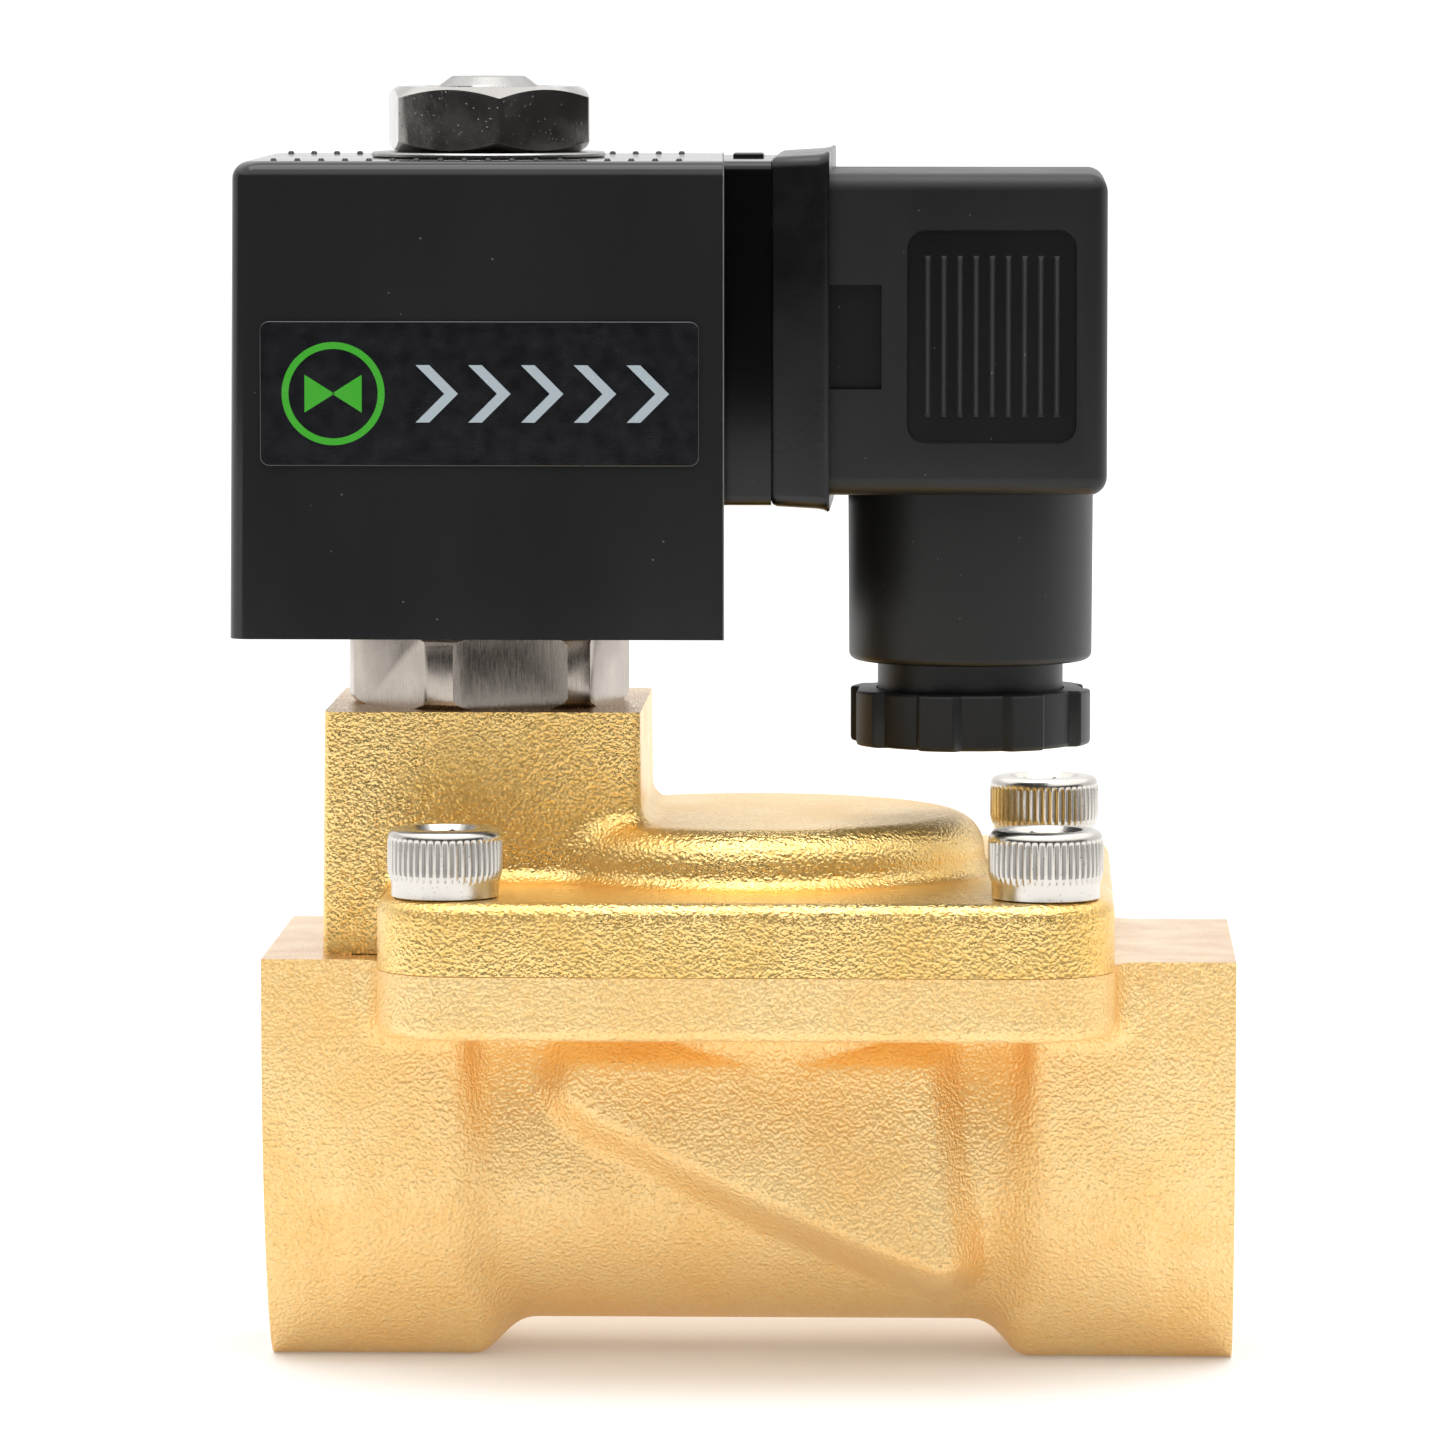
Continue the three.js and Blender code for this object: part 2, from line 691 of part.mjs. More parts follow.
function makeCoilHousing() {
  const size = COIL;
  const wall = size.wall;
  const plan = roundedRectangle(size.left, size.right, -size.half, size.half, size.corner);
  const shell = prismZ(plan, size.bottom, size.top);
  const topRound = prismY(
    roundedRectangle(size.left, size.right + FAR, size.bottom - FAR, size.top, size.edge),
    -size.half, size.half, size.bevel);
  const neck = prismX(
    roundedRectangle(-size.neckHalf, size.neckHalf, size.neckBottom, size.top, size.neckCorner),
    size.right - PAST, size.neckRight);
  const nib = box(NIB.left, NIB.right, -NIB.half, NIB.half, size.top - PAST, size.top + NIB.height);
  const inside = box(
    size.left + wall, size.right - wall,
    -size.half + wall, size.half - wall,
    size.bottom - PAST, size.top - wall);
  return cut(
    join(shell.intersect(topRound), neck, nib),
    inside,
    cylinderZ(size.bore, size.top - wall - PAST, size.top + PAST, TUBE_X),
    cylinderX(INSERT.radius + FIT, size.right - wall - PAST, size.neckRight + PAST, 0, PLUG.screwZ),
    bladeSlots(size.right - wall - PAST, size.neckRight + PAST));
}

function makeCoilBasePlate() {
  const wall = COIL.wall + FIT;
  const plate = box(
    COIL.left + wall, COIL.right - wall,
    -COIL.half + wall, COIL.half - wall,
    COIL.bottom + COIL.baseRecess, YOKE.bottom);
  return cut(plate, cylinderZ(COIL.bore, COIL.bottom - PAST, YOKE.bottom + PAST, TUBE_X));
}

// An upside-down U of steel over the bobbin. The base plate closes it underneath.
function makeCoilYoke() {
  const outer = box(
    TUBE_X - YOKE.half, TUBE_X + YOKE.half, -YOKE.depthHalf, YOKE.depthHalf, YOKE.bottom, YOKE.top);
  const inner = YOKE.half - YOKE.plate;
  const window = box(
    TUBE_X - inner, TUBE_X + inner, -YOKE.depthHalf - PAST, YOKE.depthHalf + PAST,
    YOKE.bottom - PAST, YOKE.top - YOKE.plate);
  return cut(outer, window, cylinderZ(COIL.bore, YOKE.bottom, YOKE.top + PAST, TUBE_X));
}

function makeCoilBobbin() {
  const size = BOBBIN;
  return revolveRing([
    [size.inner, size.bottom],
    [size.flange, size.bottom],
    [size.flange, size.bottom + size.cheek],
    [size.outer, size.bottom + size.cheek],
    [size.outer, size.top - size.cheek],
    [size.flange, size.top - size.cheek],
    [size.flange, size.top],
    [size.inner, size.top],
  ], TUBE_X);
}

function makeCoilWinding() {
  const gap = BOBBIN.cheek + FIT;
  return washer(BOBBIN.outer + FIT, WINDING_OUTER, BOBBIN.bottom + gap, BOBBIN.top - gap, TUBE_X);
}

function makeBlade(y, z, upright) {
  const half = BLADE.width / 2;
  const thin = BLADE.thickness / 2;
  const outline = upright ? [thin, half] : [half, thin];
  return box(BLADE.left, BLADE.right, y - outline[0], y + outline[0], z - outline[1], z + outline[1]);
}

function makeNeckNutInsert() {
  const left = COIL.right - COIL.wall;
  return cut(
    cylinderX(INSERT.radius, left, COIL.neckRight - INSERT.recess, 0, PLUG.screwZ),
    cylinderX(INSERT.hole, left - PAST, COIL.neckRight + PAST, 0, PLUG.screwZ));
}

function makeCoilLabel() {
  const halfWidth = LABEL.width / 2;
  const halfHeight = LABEL.height / 2;
  const outline = roundedRectangle(
    LABEL.x - halfWidth, LABEL.x + halfWidth, LABEL.z - halfHeight, LABEL.z + halfHeight, LABEL.corner);
  return prismY(outline, -COIL.half - LABEL.thickness, -COIL.half);
}

// ---------------------------------------------------------------- plug

function makeConnectorGasket() {
  const outline = roundedRectangle(-GASKET.half, GASKET.half, GASKET.bottom, GASKET.top, GASKET.corner);
  return cut(
    prismX(outline, GASKET.left, GASKET.right),
    bladeSlots(GASKET.left - PAST, GASKET.right + PAST),
    cylinderX(PLUG_SCREW.hole, GASKET.left - PAST, GASKET.right + PAST, 0, PLUG.screwZ));
}

// The recessed grip panel with its upright ribs, on one side of the plug.
function gripPanelCutter(side) {
  const near = side * (PLUG.half - GRIP.depth);
  const far = side * (PLUG.half + PAST);
  const front = Math.min(near, far);
  const back = Math.max(near, far);
  const ribs = [];
  for (let i = 0; i < RIBS.count; i += 1) {
    const x = RIBS.first + i * RIBS.pitch;
    ribs.push(box(x - RIBS.half, x + RIBS.half, front - PAST, back, RIBS.bottom, RIBS.top));
  }
  const panel = prismY(
    roundedRectangle(GRIP.left, GRIP.right, GRIP.bottom, GRIP.top, GRIP.corner), front, back);
  return cut(panel, ...ribs);
}

function makeConnectorHousing() {
  const size = PLUG;
  const wall = size.wall;
  const shell = prismX(
    roundedRectangle(-size.half, size.half, size.bottom, size.top, size.corner), size.left, size.right);
  const outlet = cylinderZ(
    size.outletRadius, size.outletBottom, size.bottom + wall, size.outletX, 0, FINE_SIDES);
  const neck = cylinderZ(size.neckRadius, size.neckBottom, size.outletBottom + PAST, size.outletX);
  const cavity = box(
    size.left - PAST, size.cavityRight,
    -size.half + wall, size.half - wall,
    size.bottom + wall, size.top - wall);
  const windows = [1, -1].map((side) => box(
    size.left - PAST, WINDOW.right,
    side * size.half - WINDOW.depth, side * size.half + WINDOW.depth,
    WINDOW.bottom, WINDOW.top));
  return cut(
    join(shell, outlet, neck),
    cavity,
    cylinderZ(size.cableHole, size.neckBottom - PAST, size.bottom + wall + PAST, size.outletX),
    cylinderZ(size.grommetHole, size.neckBottom - PAST, size.grommetTop, size.outletX),
    cylinderX(PLUG_SCREW.wallHole, size.cavityRight - PAST, size.right + PAST, 0, size.screwZ),
    cylinderX(size.counterbore, size.counterboreLeft, size.right + PAST, 0, size.screwZ),
    ...windows,
    gripPanelCutter(-1),
    gripPanelCutter(1));
}

// Where each of the three sockets sits: middle in Y and Z, and its half sizes there.
const SOCKETS = [
  { name: 'line', y: -BLADE.spread, z: PLUG.screwZ, halfY: SOCKET.thin, halfZ: SOCKET.wide, upright: true },
  { name: 'neutral', y: BLADE.spread, z: PLUG.screwZ, halfY: SOCKET.thin, halfZ: SOCKET.wide, upright: true },
  { name: 'earth', y: 0, z: BLADE.earthZ, halfY: SOCKET.wide, halfZ: SOCKET.thin, upright: false },
];

function socketBox(socket, left, right, extra) {
  return box(
    left, right,
    socket.y - socket.halfY - extra, socket.y + socket.halfY + extra,
    socket.z - socket.halfZ - extra, socket.z + socket.halfZ + extra);
}

function makeTerminalBlock() {
  const left = PLUG.left + FIT;
  return cut(
    box(left, BLOCK.right, -BLOCK.half, BLOCK.half, BLOCK.bottom, BLOCK.top),
    bladeSlots(left - PAST, SOCKET.left + PAST),
    cylinderX(PLUG_SCREW.hole, left - PAST, BLOCK.right + PAST, 0, PLUG.screwZ),
    ...SOCKETS.map((socket) => socketBox(socket, SOCKET.left - FIT, BLOCK.right + PAST, FIT)));
}

function makeTerminalSocket(socket) {
  const screwHole = cylinderX(
    SOCKET.screwHole, SOCKET.slotRight, BLOCK.right + PAST, socket.y, socket.z, SOCKET.screwSides);
  return cut(
    socketBox(socket, SOCKET.left, BLOCK.right, 0),
    bladeSlots(SOCKET.left - PAST, SOCKET.slotRight),
    screwHole);
}

function makeTerminalScrew(socket) {
  const size = TERMINAL_SCREW;
  const sides = SOCKET.screwSides;
  return join(
    cylinderX(size.shank, size.left, BLOCK.right + PAST, socket.y, socket.z, sides),
    cylinderX(size.head, BLOCK.right, BLOCK.right + size.headHeight, socket.y, socket.z, sides));
}

function makeConnectorScrew() {
  const size = PLUG_SCREW;
  const z = PLUG.screwZ;
  const slot = box(
    size.slotLeft, PLUG.right + PAST,
    -size.head - PAST, size.head + PAST,
    z - size.slotHalf, z + size.slotHalf);
  return cut(join(
    cylinderX(size.shank, size.left, size.slotLeft, 0, z),
    cylinderX(size.head, size.headLeft, size.headRight, 0, z)), slot);
}

function makeConnectorScrewSeal() {
  const left = PLUG.counterboreLeft;
  const right = PLUG_SCREW.headLeft;
  return cut(
    cylinderX(SCREW_SEAL.outer, left, right, 0, PLUG.screwZ),
    cylinderX(SCREW_SEAL.inner, left - PAST, right + PAST, 0, PLUG.screwZ));
}

function makeGlandGrommet() {
  const bottom = GLAND.floor + GLAND.washerHeight;
  return washer(GLAND.grommetHole, PLUG.grommetHole - FIT, bottom, PLUG.grommetTop - FIT, PLUG.outletX);
}

function makeGlandWasher() {
  const top = GLAND.floor + GLAND.washerHeight;
  return washer(GLAND.washerHole, PLUG.grommetHole - FIT, GLAND.floor, top, PLUG.outletX);
}

// The gland nut's outline: eight raised grips with sloping flanks.
function glandOutline() {
  const points = [];
  const corners = [
    [-GLAND.lobeFoot, GLAND.valley],
    [-GLAND.lobeHalf, GLAND.radius],
    [GLAND.lobeHalf, GLAND.radius],
    [GLAND.lobeFoot, GLAND.valley],
  ];
  for (let i = 0; i < GLAND.lobes; i += 1) {
    const middle = GLAND.firstLobe + i * (360 / GLAND.lobes);
    for (const [offset, radius] of corners) {
      const angle = THREE.MathUtils.degToRad(middle + offset);
      points.push([PLUG.outletX + radius * Math.cos(angle), radius * Math.sin(angle)]);
    }
  }
  return polygon(points);
}

function makeGlandNut() {
  return cut(
    prismZ(glandOutline(), GLAND.bottom, GLAND.top),
    cylinderZ(PLUG.neckRadius + GLAND.neckFit, GLAND.floor, GLAND.top + PAST, PLUG.outletX),
    cylinderZ(GLAND.hole, GLAND.bottom - PAST, GLAND.top, PLUG.outletX));
}

// ---------------------------------------------------------------- top fastening

function makeLockWasher() {
  return washer(TOP_NUT.washerHole, TOP_NUT.washer, COIL.top, TOP_NUT.bottom, TUBE_X);
}

function makeTopNut() {
  const corner = TOP_NUT.flats / Math.sqrt(3);
  const limits = revolve([
    [0, TOP_NUT.bottom],
    [TOP_NUT.chamferRadius, TOP_NUT.bottom],
    [corner, TOP_NUT.bottom + TOP_NUT.chamferHeight],
    [corner, TOP_NUT.top - TOP_NUT.chamferHeight],
    [TOP_NUT.chamferRadius, TOP_NUT.top],
    [0, TOP_NUT.top],
  ], TUBE_X, FINE_SIDES);
  return cut(
    hexagonZ(TOP_NUT.flats, TOP_NUT.bottom, TOP_NUT.top, TUBE_X, TOP_NUT.turn).intersect(limits),
    cylinderZ(TOP_NUT.hole, TOP_NUT.bottom - PAST, TOP_NUT.top + PAST, TUBE_X));
}

// ---------------------------------------------------------------- materials

function material(color, roughness, metalness) {
  return new THREE.MeshStandardMaterial({ color, roughness, metalness });
}

const bodyBrass = material('#d3a458', 0.42, 1);
const bonnetBrass = material('#c8913f', 0.38, 1);
const nickel = material('#b9b7b1', 0.25, 1);
const steel = material('#9a9a98', 0.35, 1);
const copper = material('#b4653a', 0.35, 1);
const brassBright = material('#d8b15f', 0.25, 1);
const blackPlastic = material('#252727', 0.5, 0);
const blackRubber = material('#1b1b1c', 0.8, 0);
const whitePlastic = material('#d8d6ce', 0.6, 0);
const labelFoil = material('#1c2430', 0.35, 0);

// ---------------------------------------------------------------- assembly

const valve = new THREE.Group();
const parts = new THREE.Group();
parts.position.x = BODY_CENTRE_X;
valve.add(parts);

function place(name, solid, finish) {
  const mesh = new THREE.Mesh(toGeometry(solid), finish);
  mesh.name = name;
  parts.add(mesh);
  return mesh;
}

place('valve_body', makeValveBody(), bodyBrass);
place('bonnet', makeBonnet(), bonnetBrass);
atScrews((x, y) => [x, y]).forEach(([x, y], i) => {
  place(`bonnet_screw_${i + 1}`, makeBonnetScrew(), nickel).position.set(x, y, 0);
});

place('diaphragm', makeDiaphragm(), blackRubber);
place('diaphragm_plate', makeDiaphragmPlate(), brassBright);
place('diaphragm_washer', makeDiaphragmWasher(), steel);
place('diaphragm_bolt', makeDiaphragmBolt(), steel);
place('diaphragm_nut', makeDiaphragmNut(), steel);
place('main_spring', spring(MAIN_SPRING, DIAPHRAGM_X), steel);

place('pilot_seat', makePilotSeat(), brassBright);
place('tube_o_ring', makeTubeORing(), blackRubber);
place('tube_base', makeTubeBase(), nickel);
place('guide_tube', makeGuideTube(), steel);
place('fixed_core', makeFixedCore(), steel);
place('shading_ring', makeShadingRing(), copper);
place('plunger', makePlunger(), steel);
place('plunger_seal', makePlungerSeal(), blackRubber);
place('plunger_spring', spring(PLUNGER_SPRING, TUBE_X), steel);

place('coil_housing', makeCoilHousing(), blackPlastic);
place('coil_label', makeCoilLabel(), labelFoil);
place('coil_base_plate', makeCoilBasePlate(), steel);
place('coil_yoke', makeCoilYoke(), steel);
place('coil_bobbin', makeCoilBobbin(), whitePlastic);
place('coil_winding', makeCoilWinding(), copper);
place('neck_nut_insert', makeNeckNutInsert(), brassBright);
for (const socket of SOCKETS) {
  place(`terminal_blade_${socket.name}`, makeBlade(socket.y, socket.z, socket.upright), brassBright);
}

place('connector_gasket', makeConnectorGasket(), blackRubber);
place('connector_housing', makeConnectorHousing(), blackPlastic);
place('terminal_block', makeTerminalBlock(), blackPlastic);
for (const socket of SOCKETS) {
  place(`terminal_socket_${socket.name}`, makeTerminalSocket(socket), brassBright);
  place(`terminal_screw_${socket.name}`, makeTerminalScrew(socket), steel);
}
place('connector_screw', makeConnectorScrew(), steel);
place('connector_screw_seal', makeConnectorScrewSeal(), blackRubber);
place('gland_grommet', makeGlandGrommet(), blackRubber);
place('gland_washer', makeGlandWasher(), steel);
place('gland_nut', makeGlandNut(), blackPlastic);

place('lock_washer', makeLockWasher(), nickel);
place('top_nut', makeTopNut(), nickel);

export default valve;
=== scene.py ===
import json
from math import copysign, cos, pi, radians, sin, sqrt

import bpy
import numpy as np
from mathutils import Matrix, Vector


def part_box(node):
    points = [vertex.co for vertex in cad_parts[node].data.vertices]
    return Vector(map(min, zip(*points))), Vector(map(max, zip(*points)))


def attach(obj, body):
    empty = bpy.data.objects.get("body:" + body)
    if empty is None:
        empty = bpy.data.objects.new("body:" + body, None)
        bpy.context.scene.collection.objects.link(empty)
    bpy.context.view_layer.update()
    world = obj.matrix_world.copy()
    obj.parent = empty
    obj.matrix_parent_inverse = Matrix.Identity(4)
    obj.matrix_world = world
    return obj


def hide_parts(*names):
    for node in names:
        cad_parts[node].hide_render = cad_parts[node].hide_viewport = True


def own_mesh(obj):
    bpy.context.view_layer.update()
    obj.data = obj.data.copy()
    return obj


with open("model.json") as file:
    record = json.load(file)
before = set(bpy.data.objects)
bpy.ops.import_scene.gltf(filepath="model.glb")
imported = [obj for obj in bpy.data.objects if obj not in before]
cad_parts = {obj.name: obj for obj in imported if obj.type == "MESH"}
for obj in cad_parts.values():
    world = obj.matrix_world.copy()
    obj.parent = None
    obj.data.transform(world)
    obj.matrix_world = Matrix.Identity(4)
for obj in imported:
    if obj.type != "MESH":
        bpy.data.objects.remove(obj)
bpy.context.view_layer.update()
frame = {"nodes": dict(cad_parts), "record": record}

import openvdb
from mathutils import Matrix, Vector

# Shapes are worked out in millimetres, in the CAD frame, and scaled once when a mesh is made.
MM = 0.001


def node_box(node):
    """Lowest and highest corner of a CAD node, in millimetres."""
    low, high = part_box(node)
    return np.array(low) / MM, np.array(high) / MM


def heights(node):
    """Where a CAD node's underside and top are."""
    low, high = node_box(node)
    return low[2], high[2]


BODY_LOW, BODY_HIGH = node_box("valve_body")
BONNET_LOW, BONNET_HIGH = node_box("bonnet")
COIL_LOW, COIL_HIGH = node_box("coil_housing")
PLUG_LOW, PLUG_HIGH = node_box("connector_housing")

BODY_X, TUBE_X, DISC_X, GLAND_X = (
    (low[0] + high[0]) / 2
    for low, high in map(node_box, ("valve_body", "guide_tube", "diaphragm_plate", "gland_nut")))
SPLIT_Z = BODY_HIGH[2]
HALF_LENGTH = (BODY_HIGH[0] - BODY_LOW[0]) / 2
FLANGE_HALF = BODY_HIGH[1]
FLANGE_CORNER = 7.5
FLANGE_TOP = 43.0
TOWER_TOP = BONNET_HIGH[2]
PORT_Z = 18.3
PORT_INNER = 24.7
PORT_DEPTH = 15.2
SCREW_REACH = 26.0
COIL_TOP = PLUG_HIGH[2] + 1.1
PLUG_SCREW_Z = 91.2


# ---- distance fields

# The spacing of the castings' fields.
CAST_STEP = 0.4


class Grid:
    """Sample points of a distance field, as arrays that broadcast to the whole block."""

    def __init__(self, low, high):
        self.low = np.array(low, float)
        counts = np.ceil((np.array(high, float) - self.low) / CAST_STEP).astype(int) + 1
        self.x, self.y, self.z = (
            steps * CAST_STEP + start
            for steps, start in zip(np.ogrid[0:counts[0], 0:counts[1], 0:counts[2]], self.low))


def plate_field(x, y, z, low, high, corner, edge):
    """Distance to an upright plate: its four upright corners and its flat edges have their own radii."""
    u = np.abs(x - (low[0] + high[0]) / 2) - (high[0] - low[0]) / 2 + corner
    v = np.abs(y - (low[1] + high[1]) / 2) - (high[1] - low[1]) / 2 + corner
    flat = np.hypot(np.maximum(u, 0), np.maximum(v, 0)) + np.minimum(np.maximum(u, v), 0) - corner
    return extruded(flat, z, low[2], high[2], edge)


def extruded(flat, w, low, high, radius):
    """A flat outline's distance carried along w from low to high, with rounded ends."""
    a = flat + radius
    b = np.abs(w - (low + high) / 2) - (high - low) / 2 + radius
    return np.minimum(np.maximum(a, b), 0) + np.hypot(np.maximum(a, 0), np.maximum(b, 0)) - radius


def polygon_field(u, v, points):
    """Signed distance to a flat polygon."""
    best = None
    sign = 1.0
    count = len(points)
    for i in range(count):
        ax, ay = points[i]
        bx, by = points[i - 1]
        ex, ey = bx - ax, by - ay
        wx, wy = u - ax, v - ay
        share = np.clip((wx * ex + wy * ey) / (ex * ex + ey * ey), 0, 1)
        square = (wx - ex * share) ** 2 + (wy - ey * share) ** 2
        best = square if best is None else np.minimum(best, square)
        above = wy >= 0
        below = v < by
        left = ex * wy > ey * wx
        flip = (above & below & left) | (~above & ~below & ~left)
        sign = sign * np.where(flip, -1.0, 1.0)
    return sign * np.sqrt(best)


def fillet_union(a, b, radius):
    """Union with a round fillet where the two surfaces meet."""
    u = np.maximum(radius - a, 0)
    v = np.maximum(radius - b, 0)
    return np.maximum(radius, np.minimum(a, b)) - np.hypot(u, v)


def field_mesh(name, field, low, high):
    """The surface where a distance field is zero, as an object."""
    grid = Grid(low, high)
    volume = openvdb.FloatGrid(4 * CAST_STEP)
    volume.copyFromArray(np.ascontiguousarray(field(grid), dtype=np.float32))
    points, quads = volume.convertToQuads(isovalue=0.0)
    return new_object(name, points * CAST_STEP + grid.low, quads[:, ::-1])


# ---- meshes from rings

def new_object(name, vertices, faces, smooth_angle=None):
    mesh = bpy.data.meshes.new(name)
    vertices = np.asarray(vertices, float) * MM
    mesh.from_pydata(vertices.tolist(), [], [list(map(int, face)) for face in faces])
    mesh.validate()
    piece = bpy.data.objects.new(name, mesh)
    bpy.context.scene.collection.objects.link(piece)
    face_outward(piece)
    if smooth_angle is not None:
        shade(piece, smooth_angle)
    return piece


def face_outward(piece):
    """Turns all faces over if the mesh encloses a negative volume."""
    mesh = piece.data
    mesh.calc_loop_triangles()
    count = len(mesh.loop_triangles)
    corners = np.empty(count * 3, np.int32)
    mesh.loop_triangles.foreach_get("vertices", corners)
    points = np.empty(len(mesh.vertices) * 3, np.float32)
    mesh.vertices.foreach_get("co", points)
    a, b, c = points.reshape(-1, 3)[corners.reshape(-1, 3)].transpose(1, 0, 2)
    if np.einsum("ij,ij->i", a, np.cross(b, c)).sum() < 0:
        mesh.flip_normals()


def shade(piece, angle):
    """Smooth shading, with creases sharper than the angle kept."""
    mesh = piece.data
    mesh.shade_smooth()
    mesh.set_sharp_from_angle(angle=radians(angle))


def loft(name, rings, closed=False, smooth_angle=None):
    """A skin over rings of equally many points. A ring of one point closes to a tip."""
    vertices = []
    starts = []
    for ring in rings:
        starts.append((len(vertices), len(ring)))
        vertices.extend(ring)
    faces = []
    pairs = list(zip(starts, starts[1:]))
    if closed:
        pairs.append((starts[-1], starts[0]))
    for (a, count_a), (b, count_b) in pairs:
        count = max(count_a, count_b)
        for i in range(count):
            j = (i + 1) % count
            if count_a == 1:
                faces.append((a, b + j, b + i))
            elif count_b == 1:
                faces.append((a + i, a + j, b))
            else:
                faces.append((a + i, a + j, b + j, b + i))
    if not closed:
        for (start, count), backward in ((starts[0], True), (starts[-1], False)):
            if count > 1:
                cap = list(range(start, start + count))
                faces.append(cap[::-1] if backward else cap)
    return new_object(name, vertices, faces, smooth_angle)


# How an outline's point (u, v), and its place w along an axis, make a point in X, Y, Z.
PLACE = {
    "x": lambda u, v, w: (w, u, v),
    "y": lambda u, v, w: (u, w, v),
    "z": lambda u, v, w: (u, v, w),
}


def turned(name, profile, x, y=0.0, sides=96, closed=False, smooth_angle=None, along="z"):
    """A piece turned about an axis at (x, y), from (radius, height) pairs. Heights run along the axis."""
    angles = np.arange(sides) * 2 * pi / sides
    rings = []
    for radius, height in profile:
        outline = [(radius * cos(t), radius * sin(t)) for t in angles]
        if radius < 1e-6:
            outline = [(0.0, 0.0)]
        rings.append([PLACE[along](u + x, v + y, height) for u, v in outline])
    return loft(name, rings, closed, smooth_angle)


def polar(x, y, z, radius, angle):
    """The point at that radius and angle round an upright axis."""
    return x + radius * cos(angle), y + radius * sin(angle), z


def arc(centre_x, centre_y, radius, start, end, steps):
    """Points along an arc, with its angles in degrees."""
    angles = np.radians(np.linspace(start, end, steps + 1))
    return [(centre_x + radius * cos(t), centre_y + radius * sin(t)) for t in angles]


def rounded_outline(x0, x1, y0, y1, radius, right_radius, steps):
    """A rectangle's outline with round corners, anticlockwise from the lower right."""
    r, q = radius, radius if right_radius is None else right_radius
    return (arc(x1 - q, y0 + q, q, -90, 0, steps) + arc(x1 - q, y1 - q, q, 0, 90, steps)
            + arc(x0 + r, y1 - r, r, 90, 180, steps) + arc(x0 + r, y0 + r, r, 180, 270, steps))


def prism(name, outline, low, high, axis="z"):
    """An outline carried straight along an axis: its own axes are the other two, in X, Y, Z order."""
    return loft(name, [[PLACE[axis](u, v, w) for u, v in outline] for w in (low, high)])


def block(name, low, high):
    (x0, y0, z0), (x1, y1, z1) = low, high
    return prism(name, [(x0, y0), (x1, y0), (x1, y1), (x0, y1)], z0, z1)


def section(w, u0, u1, v0, v1, radius, other=None, inset=0.0):
    """A round-cornered rectangle at w, drawn in on all sides by inset, for rounded_stack."""
    return w, u0 + inset, u1 - inset, v0 + inset, v1 - inset, radius, other


def rounded_stack(name, sections, axis="z", smooth_angle=None, steps=6):
    """A skin over round-cornered rectangles, which stand one after another along an axis."""
    rings = []
    for w, u0, u1, v0, v1, radius, other in sections:
        outline = rounded_outline(u0, u1, v0, v1, radius, other, steps)
        rings.append([PLACE[axis](u, v, w) for u, v in outline])
    return loft(name, rings, False, smooth_angle)


COS_30 = cos(radians(30))


def hexagon(name, flats, low, high, x, turn, corner):
    """A six-sided bar along Z with slightly rounded corners."""
    reach = flats / 2 / COS_30 - corner / COS_30
    outline = []
    for k in range(6):
        angle = turn + 60 * k
        centre = polar(x, 0, 0, reach, radians(angle))[:2]
        outline += arc(*centre, corner, angle - 30, angle + 30, 4)
    return prism(name, outline, low, high)


def combine(piece, other, operation="DIFFERENCE"):
    """Cuts, joins or intersects a piece with another, which is used up."""
    modifier = piece.modifiers.new("combine", "BOOLEAN")
    modifier.object = other
    modifier.operation = operation
    modifier.solver = "MANIFOLD"
    graph = bpy.context.evaluated_depsgraph_get()
    mesh = bpy.data.meshes.new_from_object(piece.evaluated_get(graph))
    piece.modifiers.clear()
    old = piece.data
    piece.data = mesh
    mesh.name = old.name
    bpy.data.meshes.remove(old)
    bpy.data.meshes.remove(other.data)
    return piece


def cut(piece, *cutters):
    for cutter in cutters:
        combine(piece, cutter)
    return piece


def merge(piece, *others):
    """Adds other meshes to a piece's mesh as further shells."""
    for other in others:
        other.data.transform(other.matrix_world)
    with bpy.context.temp_override(
            active_object=piece, object=piece, selected_objects=[piece, *others],
            selected_editable_objects=[piece, *others]):
        bpy.ops.object.join()
    return piece


# ---- material nodes

class Nodes:
    """A node tree that is built one call at a time."""

    def __init__(self, tree):
        self.tree = tree

    def add(self, kind, output, inputs, **settings):
        """Adds a node and gives back one of its outputs. Its inputs are constants or other outputs."""
        made = self.tree.nodes.new(kind)
        for key, value in settings.items():
            setattr(made, key, value)
        for key, value in inputs.items():
            if isinstance(value, bpy.types.NodeSocket):
                self.tree.links.new(value, made.inputs[key])
            else:
                made.inputs[key].default_value = value
        return made.outputs[output]

    def spread(self, source, low=0.3, high=0.7, to_low=0.0, to_high=1.0, **settings):
        """Maps low..high to to_low..to_high. Most of a noise lies between 0.3 and 0.7."""
        return self.add("ShaderNodeMapRange", "Result", {
            "From Min": low, "From Max": high, "To Min": to_low, "To Max": to_high, "Value": source,
        }, **settings)

    def math(self, operation, a, b):
        return self.add("ShaderNodeMath", "Value", {0: a, 1: b}, operation=operation)


